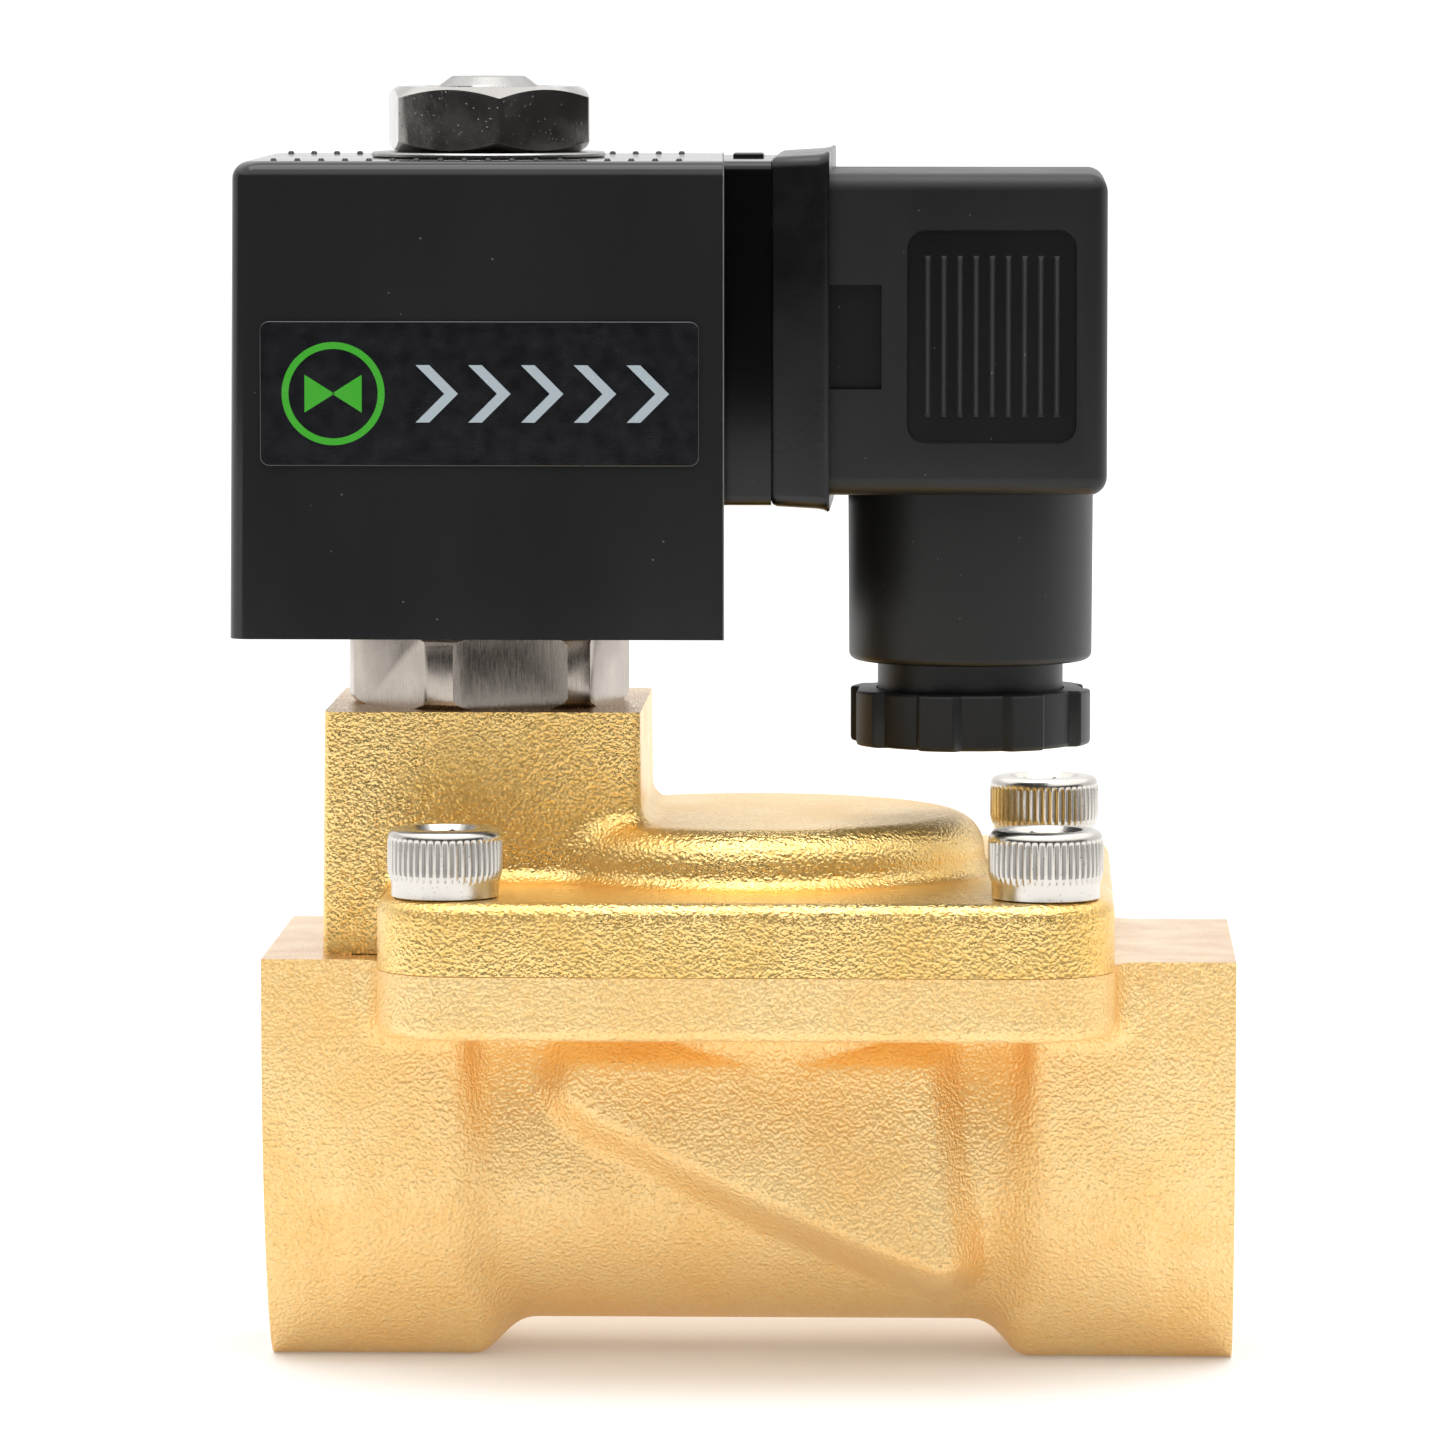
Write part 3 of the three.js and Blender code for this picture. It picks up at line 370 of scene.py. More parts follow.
class Finish(Nodes):
    """A material. The constants are its shader's sockets, with underscores for spaces."""

    def __init__(self, name, **constants):
        self.material = bpy.data.materials.new(name)
        self.material.use_nodes = True
        super().__init__(self.material.node_tree)
        self.shader = self.tree.nodes["Principled BSDF"]
        for socket, value in constants.items():
            self.shader.inputs[socket.replace("_", " ")].default_value = value
        self.place = self.add("ShaderNodeTexCoord", "Object", {})

    def stretched(self, scale):
        return self.add("ShaderNodeMapping", "Vector", {"Scale": scale, "Vector": self.place})

    def noise(self, size_mm, detail=2.0, roughness=0.5, vector=None):
        """Noise whose lumps are about size_mm across."""
        return self.add("ShaderNodeTexNoise", "Fac", {
            "Scale": 1 / (size_mm * MM), "Detail": detail, "Roughness": roughness,
            "Vector": vector or self.place})

    def cells(self, size_mm, feature="F1"):
        return self.add("ShaderNodeTexVoronoi", "Distance", {
            "Scale": 1 / (size_mm * MM), "Vector": self.place}, feature=feature)

    def blend(self, share, a, b):
        """A colour between a and b. Each is three numbers or another node's colour."""
        made = self.tree.nodes.new("ShaderNodeMix")
        made.data_type = "RGBA"
        self.tree.links.new(share, made.inputs["Factor"])
        colours = [s for s in made.inputs if s.type == "RGBA"]
        for socket, value in zip(colours, (a, b)):
            if isinstance(value, tuple):
                socket.default_value = (*value, 1.0)
            else:
                self.tree.links.new(value, socket)
        return next(s for s in made.outputs if s.type == "RGBA")

    def colour(self, share, a, b):
        self.tree.links.new(self.blend(share, a, b), self.shader.inputs["Base Color"])

    def roughness(self, source, low, high):
        """Roughness that goes from low to high with a noise."""
        made = self.spread(source, to_low=low, to_high=high)
        self.tree.links.new(made, self.shader.inputs["Roughness"])

    def bump(self, source, height_mm, strength=1.0):
        """Bump of that height. A second call adds to the first."""
        inputs = {"Strength": strength, "Distance": height_mm * MM, "Height": source}
        for before in self.shader.inputs["Normal"].links:
            inputs["Normal"] = before.from_socket
        self.tree.links.new(self.add("ShaderNodeBump", "Normal", inputs), self.shader.inputs["Normal"])


def scaled(colour, factor, plus=0.0):
    return tuple(min(1.0, factor * c + plus) for c in colour)


def cast_brass(name, pale, deep, metallic, roughness, rough_height):
    """Sand-blasted brass casting: fine pebbles with glints, over faint broad unevenness."""
    finish = Finish(name, Metallic=metallic)
    pebbles = finish.cells(0.34, "SMOOTH_F1")
    fine = finish.noise(0.25, detail=1.0)
    grain = finish.math("SUBTRACT", finish.math("MULTIPLY", fine, 0.7), finish.math("MULTIPLY", pebbles, 0.6))
    grain = finish.math("ADD", grain, 0.4)
    broad = finish.noise(2.2)
    patches = finish.noise(11.0, detail=4.0, roughness=0.6)
    tone = finish.math("ADD", finish.math("MULTIPLY", grain, 0.45), finish.math("MULTIPLY", patches, 0.55))
    # The colour follows the grain as well as the broad patches: pebble tops paler and the hollows between
    # them deeper, as painted glints and painted shade; the patches are the brass's own uneven tone.
    finish.colour(finish.spread(tone, 0.36, 0.62), deep, pale)
    finish.roughness(patches, roughness + 0.05, roughness - 0.05)
    finish.bump(broad, 0.04)
    finish.bump(grain, rough_height)
    return finish.material


def machined_brass(name):
    """A milled or turned brass face: fine straight marks and stains."""
    finish = Finish(name, Metallic=1.0)
    marks = finish.noise(0.9, vector=finish.stretched((9.0, 0.35, 9.0)))
    stains = finish.noise(5.0, detail=4.0)
    finish.colour(finish.spread(stains, 0.35, 0.7), (0.78, 0.52, 0.30), (0.93, 0.72, 0.46))
    finish.roughness(marks, 0.22, 0.38)
    finish.bump(marks, 0.012, 0.8)
    return finish.material


def bright_metal(name, base, pits, low, high):
    """Nickel plate or bright steel: nearly a mirror, with tiny pits and faint cloudy patches."""
    finish = Finish(name, Metallic=1.0)
    cloud = finish.noise(3.5, detail=4.0)
    pit = finish.spread(finish.cells(0.55), 0.04, 0.16)
    finish.colour(pit, scaled(base, 0.55), base)
    finish.roughness(cloud, low, high)
    finish.bump(pit, 0.02, pits)
    finish.bump(finish.noise(0.35, detail=3.0), 0.006, 0.5)
    return finish.material


def drawn_metal(name, base, low=0.2, high=0.42, along=(7.0, 7.0, 0.5)):
    """Bar stock with marks along its length."""
    finish = Finish(name, Metallic=1.0)
    lines = finish.noise(0.8, detail=4.0, roughness=0.65, vector=finish.stretched(along))
    cloud = finish.noise(4.0, detail=3.0)
    finish.colour(finish.spread(cloud), scaled(base, 0.8), base)
    finish.roughness(lines, low, high)
    finish.bump(lines, 0.012, 0.7)
    return finish.material


def moulded_plastic(name, base, low, high, grain_mm=0.25, height=0.010, dust=0.05):
    """Moulded nylon: a fine even grain, faint flow patches and a little dust."""
    finish = Finish(name, IOR=1.45)
    flow = finish.noise(14.0, detail=3.0, vector=finish.stretched((1.0, 1.0, 0.4)))
    speck = finish.spread(finish.cells(2.2), dust, dust * 0.55)
    tone = finish.blend(finish.spread(flow), base, scaled(base, 1.25))
    finish.colour(speck, tone, scaled(base, 5.0, 0.05))
    finish.roughness(flow, low, high)
    finish.bump(finish.noise(grain_mm), height, 0.8)
    return finish.material


def rubber(name, base):
    finish = Finish(name)
    cloud = finish.noise(6.0, detail=4.0)
    finish.colour(finish.spread(cloud), base, scaled(base, 1.6))
    finish.roughness(cloud, 0.22, 0.34)
    finish.bump(finish.noise(0.5, detail=3.0), 0.012, 0.6)
    return finish.material


def printed_foil(name, base):
    """Label foil or its ink: a very fine orange peel with small bright specks."""
    finish = Finish(name)
    finish.colour(finish.spread(finish.cells(0.5), 0.10, 0.04), base, scaled(base, 1.7, 0.02))
    finish.roughness(finish.noise(1.5), 0.18, 0.28)
    finish.bump(finish.noise(0.22), 0.006, 0.8)
    return finish.material


BODY_BRASS = cast_brass("body_brass", (1.0, 0.74, 0.36), (0.98, 0.64, 0.25), 0.75, 0.40, 0.20)
BONNET_BRASS = cast_brass("bonnet_brass", (0.99, 0.72, 0.30), (0.92, 0.58, 0.17), 0.85, 0.27, 0.15)
MACHINED = machined_brass("machined_brass")
NICKEL = bright_metal("nickel_plate", (0.44, 0.42, 0.40), 0.5, 0.08, 0.18)
SCREW_STEEL = bright_metal("screw_steel", (0.66, 0.63, 0.58), 0.3, 0.18, 0.32)
# A darker, rougher copy of the screw steel for the knurl's grooves: the darker colour is painted shade in the
# grooves.
SCREW_GROOVE_SHADE = bright_metal("screw_groove_painted_shade", (0.36, 0.35, 0.33), 0.3, 0.30, 0.45)
HEX_NICKEL = drawn_metal("hex_nickel", (0.50, 0.445, 0.39), 0.18, 0.32)
STEEL = drawn_metal("turned_steel", (0.40, 0.39, 0.38))
BRIGHT_BRASS = drawn_metal("turned_brass", (0.86, 0.66, 0.33))
COPPER = drawn_metal("copper_wire", (0.80, 0.42, 0.24), 0.25, 0.4, (1.0, 1.0, 6.0))
COIL_BLACK = moulded_plastic("coil_black", (0.0165, 0.0170, 0.0172), 0.09, 0.15, 0.35, 0.001)
PLUG_BLACK = moulded_plastic("plug_black", (0.0060, 0.0063, 0.0063), 0.38, 0.48, 0.22, 0.010, 0.04)
# A lighter copy of the plug's black for the grip ribs, which are moulded with it: painted highlight on the
# ribs.
RIB_HIGHLIGHT_BLACK = moulded_plastic("rib_painted_highlight_black", (0.0300, 0.0305, 0.0305), 0.34, 0.44, 0.22, 0.004, 0.04)
PANEL_BLACK = moulded_plastic("panel_black", (0.0060, 0.0061, 0.0061), 0.20, 0.28, 0.22, 0.002, 0.04)
# A far darker copy of the coil's black for its neck between the case and the plug: painted shade.
NECK_SHADE_BLACK = moulded_plastic("neck_painted_shade_black", (0.0016, 0.0017, 0.0018), 0.12, 0.18, 0.5, 0.002, 0.03)
FLASH_GREY = moulded_plastic("flash_grey", (0.13, 0.127, 0.12), 0.5, 0.7, 0.3, 0.05)
GASKET_RUBBER = rubber("gasket_rubber", (0.0016, 0.0017, 0.0020))
WHITE_NYLON = moulded_plastic("white_nylon", (0.72, 0.70, 0.65), 0.4, 0.5)
LABEL_FOIL = printed_foil("label_foil", (0.0035, 0.0041, 0.0058))
LABEL_EDGE = printed_foil("label_edge", (0.045, 0.047, 0.052))
INK_GREEN = printed_foil("ink_green", (0.055, 0.40, 0.030))
INK_GREY = printed_foil("ink_grey", (0.43, 0.50, 0.54))

SLOT_MATERIALS = {
    "body_brass": BODY_BRASS,
    "bonnet_brass": BONNET_BRASS,
    "nickel_plate": NICKEL,
    "steel": STEEL,
    "bright_brass": BRIGHT_BRASS,
    "copper": COPPER,
    "black_plastic": COIL_BLACK,
    "plug_plastic": PLUG_BLACK,
    "black_rubber": GASKET_RUBBER,
    "white_plastic": WHITE_NYLON,
    "label_foil": LABEL_FOIL,
}


def give(piece, *materials):
    """Replaces a piece's materials."""
    piece.data.materials.clear()
    for material in materials:
        piece.data.materials.append(material)


def stands_for(piece, body, slot, *nodes):
    """Puts a new piece on its body and hides the CAD nodes that it stands for. Its slot is not used."""
    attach(piece, body)
    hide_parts(*nodes)
    return piece


def finish_piece(piece, smooth_angle, body, slot, node, *materials):
    shade(piece, smooth_angle)
    give(piece, *materials)
    return stands_for(piece, body, slot, node)


def face_centres(mesh):
    centres = np.empty(len(mesh.polygons) * 3, np.float32)
    normals = np.empty(len(mesh.polygons) * 3, np.float32)
    mesh.polygons.foreach_get("center", centres)
    mesh.polygons.foreach_get("normal", normals)
    return centres.reshape(-1, 3) / MM, normals.reshape(-1, 3)


def paint(piece, chosen, index):
    """Gives the chosen faces another of the piece's materials."""
    indices = np.zeros(len(piece.data.polygons), np.int32)
    piece.data.polygons.foreach_get("material_index", indices)
    indices[chosen] = index
    piece.data.polygons.foreach_set("material_index", indices)


# ---- brass body

# How far a casting's field goes on past a face that is then cut flat.
PAST = 3.0
MARGIN = 2.0
FAR, SLAB = 80, 20
ON_PLANE = 0.02


def flange_field(g, low, high, edge):
    return plate_field(
        g.x, g.y, g.z, (-FLANGE_HALF + BODY_X, -FLANGE_HALF, low),
        (FLANGE_HALF + BODY_X, FLANGE_HALF, high), FLANGE_CORNER, edge)


def smooth_path(points, steps=6):
    """More points on a smooth curve through the given ones."""
    points = np.array(points, float)
    ends = np.vstack([2 * points[0] - points[1], points, 2 * points[-1] - points[-2]])
    path = []
    for i in range(len(points) - 1):
        p0, p1, p2, p3 = ends[i:i + 4]
        for k in range(steps):
            t = k / steps
            path.append(0.5 * (
                2 * p1 + (p2 - p0) * t + (2 * p0 - 5 * p1 + 4 * p2 - p3) * t ** 2
                + (3 * p1 - p0 - 3 * p2 + p3) * t ** 3))
    path.append(points[-1])
    return [tuple(p) for p in path]


def smooth_step(share):
    share = np.clip(share, 0, 1)
    return share * share * (3 - 2 * share)


def body_field(g):
    x = g.x - BODY_X
    side = np.abs(g.y)
    end = HALF_LENGTH + PAST
    # ports: nearly round below, upright above, flat at the foot, where they also reach further in
    port_side = [(18.0, 42.0)] + smooth_path([
        (18.0, 36.6), (17.95, 29.0), (17.5, 23.0), (16.3, 16.5), (14.2, 10.0), (11.6, 5.0), (9.2, 2.0),
        (7.2, 0.4), (6.0, 0.0)])
    port_side += [(-a, b) for a, b in reversed(port_side)]
    port_flat = polygon_field(g.y, g.z, port_side)
    foot_top, foot_tall, foot_reach, port_edge = 9.0, 6.0, 2.0, 2.0
    inner = PORT_INNER - foot_reach * smooth_step((foot_top - g.z) / foot_tall)
    ports = extruded(port_flat, np.abs(x), inner, end, port_edge)
    # waist: round below its axis, and leaning gently inwards above it
    belly, axis, upper, waist_short = 15.0, 17.6, 0.6, 12
    below = np.minimum(g.z - axis, 0) + upper * np.maximum(g.z - axis, 0)
    waist = np.maximum(np.hypot(side, below) - belly, np.abs(x) - end + waist_short)
    # wedge-shaped pad over the passage to the seat, with soft shoulders
    pad_outline = smooth_path([
        (15.4, 29.6), (17.5, 28.4), (18.1, 25.0), (18.9, 18.0), (20.0, 11.4), (19.7, 8.4), (17.6, 6.9),
        (14.0, 7.6), (1.1, 13.2), (-10.5, 18.8), (-16.0, 21.8), (-17.8, 24.2), (-17.7, 26.6),
        (-16.6, 28.7), (-14.6, 29.6)], 5)
    pad_grow, shoulder, narrowest = 1.3, 4.0, 6.0
    pad_flat = polygon_field(x, g.z, pad_outline) - pad_grow
    face = np.sqrt(np.maximum(belly ** 2 - below ** 2, narrowest ** 2))
    # the crown leans in upwards, and falls away from its highest place to both sides
    crown_reach, crown_lean, crown_z, crown_x, crown_wide, crown_fall = 17.9, 0.05, 17.0, 9, 27, 0.6
    crown = (crown_reach - crown_lean * (g.z - crown_z)
             - crown_fall * np.clip(((x - crown_x) / crown_wide) ** 2, 0, 1))
    reach = face + (crown - face) * smooth_step(-pad_flat / shoulder)
    # a smaller slope keeps the pad's field close to a distance
    pad_slope = 0.72
    pad = np.maximum(pad_slope * (side - reach), pad_flat)
    # the wall of the chamber under the diaphragm, which joins the pad to the flange
    wall_radius, wall_bottom, wall_edge = 17.4, 27.0, 1.5
    out = np.hypot(g.x - DISC_X, g.y) - wall_radius
    wall = np.hypot(np.maximum(out + wall_edge, 0), np.maximum(wall_bottom - g.z, 0)) - wall_edge
    flange = flange_field(g, 31.0, SPLIT_Z + PAST, 0.9)
    port_fillet, flange_fillet = 3.4, 2.8
    shape = fillet_union(ports, np.minimum(np.minimum(waist, pad), wall), port_fillet)
    return fillet_union(shape, flange, flange_fillet)


def threaded_bore(name, side):
    """A cutter for a port: a parallel pipe thread with a chamfered mouth."""
    pitch, crest, root, mouth = 1.814, 12.1, 13.15, 13.7
    runout = 1.5
    sides, per_pitch = 96, 12
    steps = int(PORT_DEPTH / pitch * per_pitch)
    inner = HALF_LENGTH - PORT_DEPTH
    rings = []
    for i in range(steps + 1):
        along = inner + PORT_DEPTH * i / steps
        fade = min(1.0, max(0.0, (along - inner - runout) / runout))
        ring = []
        for k in range(sides):
            turn = k / sides
            phase = (along / pitch + side * turn) % 1.0
            tooth = min(1.0, max(0.0, 1.6 * (1 - abs(2 * phase - 1)) - 0.3))
            radius = max(crest + (root - crest) * tooth * fade, mouth - (HALF_LENGTH - along))
            ring.append((BODY_X + side * along, *polar(0, PORT_Z, 0, radius, turn * 2 * pi)[:2]))
        rings.append(ring)
    rings.append([(BODY_X + side * (HALF_LENGTH + PAST + 1), y, z) for _, y, z in rings[-1]])
    return loft(name, rings)


def port_passages():
    """The ways from the ports to the seat, and the chamber round it."""
    inner = HALF_LENGTH - PORT_DEPTH
    inlet_left, inlet, outlet, outlet_z = 15.4, 9, 10, 17.5
    seat_bore, seat_low, seat_outer, seat_top = 10.2, 9, 12.5, 33.0
    chamber, chamber_floor, step, rim = 16, 26.5, 35.5, 24.1
    above = SPLIT_Z + 1
    return [
        turned("inlet_cutter", [(inlet, BODY_X + inlet_left), (inlet, BODY_X + inner + 1)], 0, PORT_Z,
               along="x"),
        turned("outlet_cutter", [(outlet, BODY_X - inner - 1), (outlet, DISC_X)], 0, outlet_z, along="x"),
        turned("seat_cutter", [(seat_bore, seat_low), (seat_bore, above)], DISC_X),
        turned("chamber_cutter", [
            (seat_outer, chamber_floor), (chamber, chamber_floor), (chamber, step), (rim, step),
            (rim, above), (9.0, above), (9.0, seat_top), (seat_outer, seat_top)], DISC_X, closed=True),
        prism("riser_cutter", arc(DISC_X, 0, 15.9, -40, 40, 12) + arc(DISC_X, 0, 13, 40, -40, 12), 14, 28),
        turned("pilot_cutter", [(1.5, 18), (1.5, above)], TUBE_X),
        turned("ear_cutter", [(4.6, step), (4.6, above)], TUBE_X),
    ]


def screw_holes(low, high):
    places = [(1, -1), (-1, -1), (1, 1), (-1, 1)]
    return [turned(f"hole_cutter_{i}", [(3.3, low), (3.3, high)],
                   BODY_X + sx * SCREW_REACH, sy * SCREW_REACH, 48) for i, (sx, sy) in enumerate(places)]


def make_body():
    piece = field_mesh("valve_body_casting", body_field, BODY_LOW - [PAST + MARGIN, MARGIN, MARGIN],
                       BODY_HIGH + [PAST + MARGIN, MARGIN, PAST + MARGIN])
    left, right = BODY_LOW[0], BODY_HIGH[0]
    cut(
        piece,
        block("top_cutter", (-FAR, -FAR, SPLIT_Z), (FAR, FAR, SPLIT_Z + SLAB)),
        block("left_cutter", (left - SLAB, -FAR, -SLAB), (left, FAR, FAR)),
        block("right_cutter", (right, -FAR, -SLAB), (right + SLAB, FAR, FAR)),
        block("floor_cutter", (-FAR, -FAR, -SLAB), (FAR, FAR, 0)),
        threaded_bore("inlet_thread", 1),
        threaded_bore("outlet_thread", -1),
        *port_passages(),
        *screw_holes(20, SPLIT_Z + 5))
    finish_piece(piece, 38, "root", "body_brass", "valve_body", BODY_BRASS, MACHINED)
    x, y, z = face_centres(piece.data)[0].T
    away = np.abs(x - BODY_X)
    bore_radius, bore_end, chamber_radius, chamber_floor = 14.0, HALF_LENGTH - 15.5, 16.2, 26.4
    in_bore = (np.hypot(y, z - PORT_Z) < bore_radius) & (away > bore_end)
    in_chamber = (np.hypot(x - DISC_X, y) < chamber_radius) & (z > chamber_floor)
    flat = (np.abs(z - SPLIT_Z) < ON_PLANE) | (np.abs(away - HALF_LENGTH) < ON_PLANE)
    paint(piece, flat | in_bore | in_chamber, 1)


# ---- bonnet

def bonnet_field(g):
    dome_radius, dome_top, dome_edge = 20.6, 48.1, 3.3
    tower_left, tower_right, tower_half = BONNET_LOW[0], BONNET_LOW[0] + 28.3, 14.0
    tower_corner, edge, slope, most, fillet = 1.2, 0.9, 0.012, 0.25, 1.6
    flange = flange_field(g, SPLIT_Z - PAST, FLANGE_TOP, 1.3)
    around = np.hypot(g.x - BODY_X, g.y) - dome_radius
    dome = extruded(around, g.z, SPLIT_Z - PAST, dome_top, dome_edge)
    tower = plate_field(
        g.x, g.y, g.z, (tower_left, -tower_half, SPLIT_Z - PAST),
        (tower_right, tower_half, TOWER_TOP + PAST - 1), tower_corner, edge)
    draft = (TOWER_TOP - g.z) * slope
    tower = tower + np.clip(most - draft, 0, most)
    return fillet_union(fillet_union(flange, dome, fillet), tower, fillet)


def split_groove():
    """A cutter for the small bevel round the bonnet's lower edge, which shows as the split line."""
    bevel, clear = 0.08, 0.01
    rings = []
    # how far each ring stands out from the flange, and its height above the split
    for out, rise in ((PAST, -1), (PAST, bevel), (clear, bevel), (-bevel, 0), (-bevel, -1)):
        reach = FLANGE_HALF + out
        outline = rounded_outline(
            BODY_X - reach, BODY_X + reach, -reach, reach, FLANGE_CORNER + out, None, 12)
        rings.append([(x, y, SPLIT_Z + rise) for x, y in outline])
    return loft("split_cutter", rings, closed=True)


def make_bonnet():
    piece = field_mesh("bonnet_casting", bonnet_field, BONNET_LOW - [MARGIN, MARGIN, PAST + MARGIN],
                       BONNET_HIGH + [MARGIN, MARGIN, PAST])
    below, above = SPLIT_Z - 1, TOWER_TOP + 1
    rim, ceiling, spring_wall = 24.1, 37.7, 15.8
    cut(
        piece,
        block("tower_cutter", (-FAR, -FAR, TOWER_TOP), (FAR, FAR, TOWER_TOP + SLAB)),
        block("split_cutter", (-FAR, -FAR, SPLIT_Z - SLAB), (FAR, FAR, SPLIT_Z)),
        turned("cavity_cutter", [
            (0, below), (rim, below), (rim, ceiling), (spring_wall, ceiling), (spring_wall, 43.8),
            (14, 45.6), (0, 45.6)], DISC_X),
        turned("ear_cutter", [(4.6, below), (4.6, ceiling)], TUBE_X),
        turned("bore_cutter", [
            (0, SPLIT_Z - 2), (1.5, SPLIT_Z - 2), (1.5, 41), (3.1, 41), (3.1, 44), (6.2, 44),
            (6.2, 50.2), (9.1, 50.2), (9.1, above), (0, above)], TUBE_X),
        turned("feed_cutter", [(0.9, TUBE_X + 5.2), (0.9, DISC_X - 13)], 0, 44.9, 24, along="x"),
        *screw_holes(SPLIT_Z - 2, TOWER_TOP - 8),
        split_groove())
    finish_piece(piece, 38, "root", "bonnet_brass", "bonnet", BONNET_BRASS, MACHINED)
    z = face_centres(piece.data)[0][:, 2]
    paint(piece, (np.abs(z - TOWER_TOP) < ON_PLANE) | (np.abs(z - SPLIT_Z) < ON_PLANE), 1)


# ---- screws, nuts and the tube

def make_screw(node):
    """A socket-head screw with a knurled head, a plain collar under it and a countersunk socket."""
    low, high = node_box(node)
    x, y = (low[0] + high[0]) / 2, (low[1] + high[1]) / 2
    bottom, seat, top, shank, radius = low[2], FLANGE_TOP, high[2], 3.0, 5.0
    grooves, per_groove, groove_depth, edge = 48, 8, 0.24, 0.75
    # radius, height, and the share of the grooves' depth
    profile = [
        (2.4, bottom, 0), (shank, bottom + 0.6, 0), (shank, seat, 0), (4.45, seat, 0), (4.68, seat + 0.15, 0),
        (4.68, seat + 1.35, 0), (4.74, seat + 1.5, 0), (4.80, seat + 1.65, 0.35), (4.93, seat + 2.1, 0.8),
        (radius, seat + 2.5, 1.0), (radius, top - 1.15, 1.0), (radius - 0.03, top - 0.95, 0.6),
        (radius - 0.06, top - 0.8, 0.0)]
    profile += [(r, z, 0) for r, z in arc(radius - 0.06 - edge, top - edge, edge, 10, 90, 7)]
    sides = grooves * per_groove
    angles = np.arange(sides) * 2 * pi / sides
    waves = [(0.5 - 0.5 * cos(t * grooves)) ** 0.8 for t in angles]
    rings = [[(x, y, bottom)]]
    for r, z, share in profile:
        rings.append([polar(x, y, z, r - groove_depth * share * wave, t) for t, wave in zip(angles, waves)])
    rings.append([(x, y, top)])
    piece = loft(f"{node}_knurled", rings)
    flats, deep = 5.0, 3
    across = flats / COS_30 / 2
    turn = 20 + 35 * (x > 0) + 15 * (y > 0)
    socket = hexagon(f"{node}_socket", flats, top - deep, top + 1, x, turn, 0.15)
    socket.data.transform(Matrix.Translation((0, y * MM, 0)))
    sink = [(0, top - 0.5), (across - 0.15, top - 0.5), (across + 0.4, top + 0.05), (across + 0.4, top + 1),
            (0, top + 1)]
    cut(piece, socket, turned(f"{node}_sink", sink, x, y, 48))
    finish_piece(piece, 40, "root", "nickel_plate", node, SCREW_STEEL, SCREW_GROOVE_SHADE)
    face_x, face_y, face_z = face_centres(piece.data)[0].T
    angle, away = np.arctan2(face_y - y, face_x - x), np.hypot(face_y - y, face_x - x)
    knurled = (face_z > seat + 1.9) & (face_z < top - 0.9) & (away > 4.0)
    # Faces deep in the knurl's grooves get the darker steel: painted shade in the grooves.
    paint(piece, knurled & (np.cos(angle * grooves) < -0.35), 1)


def make_tube_base():
    bottom, top = heights("tube_base")
    seat = TOWER_TOP
    flats, turn, corner = 22.8, 12.5, 0.5
    piece = hexagon("tube_base_hexagon", flats, seat, top, TUBE_X, turn, corner)
    limits = [
        (0, seat - 1), (11.9, seat - 1), (11.9, seat), (12.35, seat + 0.45), (12.5, seat + 0.9),
        (12.5, top - 0.9), (12.35, top - 0.5), (11.9, top - 0.1), (11.6, top + 1), (0, top + 1)]
    spigot = [(8.5, bottom), (9.0, bottom + 0.5), (9.0, seat + 1)]
    combine(piece, turned("base_limits", limits, TUBE_X, sides=128), "INTERSECT")
    combine(piece, turned("base_spigot", spigot, TUBE_X), "UNION")
    cut(piece, turned("base_bore", [(6.7, bottom - 1), (6.7, top + 1)], TUBE_X))
    finish_piece(piece, 24, "root", "nickel_plate", "tube_base", HEX_NICKEL)


def make_top_nut():
    bottom, top = heights("top_nut")
    flats, turn, face, drop, thread, mouth = 17.0, 39, 8.1, 1.0, 5.1, 6.0
    corner = flats / sqrt(3) + 0.01
    piece = hexagon("top_nut_hexagon", flats, bottom, top, TUBE_X, turn, 0.25)
    limits = [(0, bottom), (face, bottom), (corner, bottom + drop), (corner, top - drop), (face, top),
              (0, top)]
    combine(piece, turned("nut_limits", limits, TUBE_X, sides=128), "INTERSECT")
    bore = [(0, bottom - 1), (mouth, bottom - 1), (thread, bottom + 0.4), (thread, top - 0.7),
            (mouth, top + 0.2), (0, top + 0.2)]
    cut(piece, turned("nut_bore", bore, TUBE_X))
    bevel = piece.modifiers.new("edge", "BEVEL")
    bevel.width = 0.12 * MM
    bevel.segments = 2
    bevel.limit_method = "ANGLE"
    bevel.angle_limit = radians(28)
    finish_piece(piece, 30, "top_nut", "nickel_plate", "top_nut", NICKEL)


def make_lock_washer():
    low, high = node_box("lock_washer")
    outer, bottom, top = (high[0] - low[0]) / 2, low[2], high[2]
    hole, edge = 5.2, 0.15
    profile = [(hole, bottom), (outer - edge, bottom), (outer, bottom + edge), (outer, top - edge),
               (outer - edge, top), (hole, top)]
    piece = turned("lock_washer_disc", profile, TUBE_X, closed=True)
    finish_piece(piece, 30, "root", "nickel_plate", "lock_washer", STEEL)


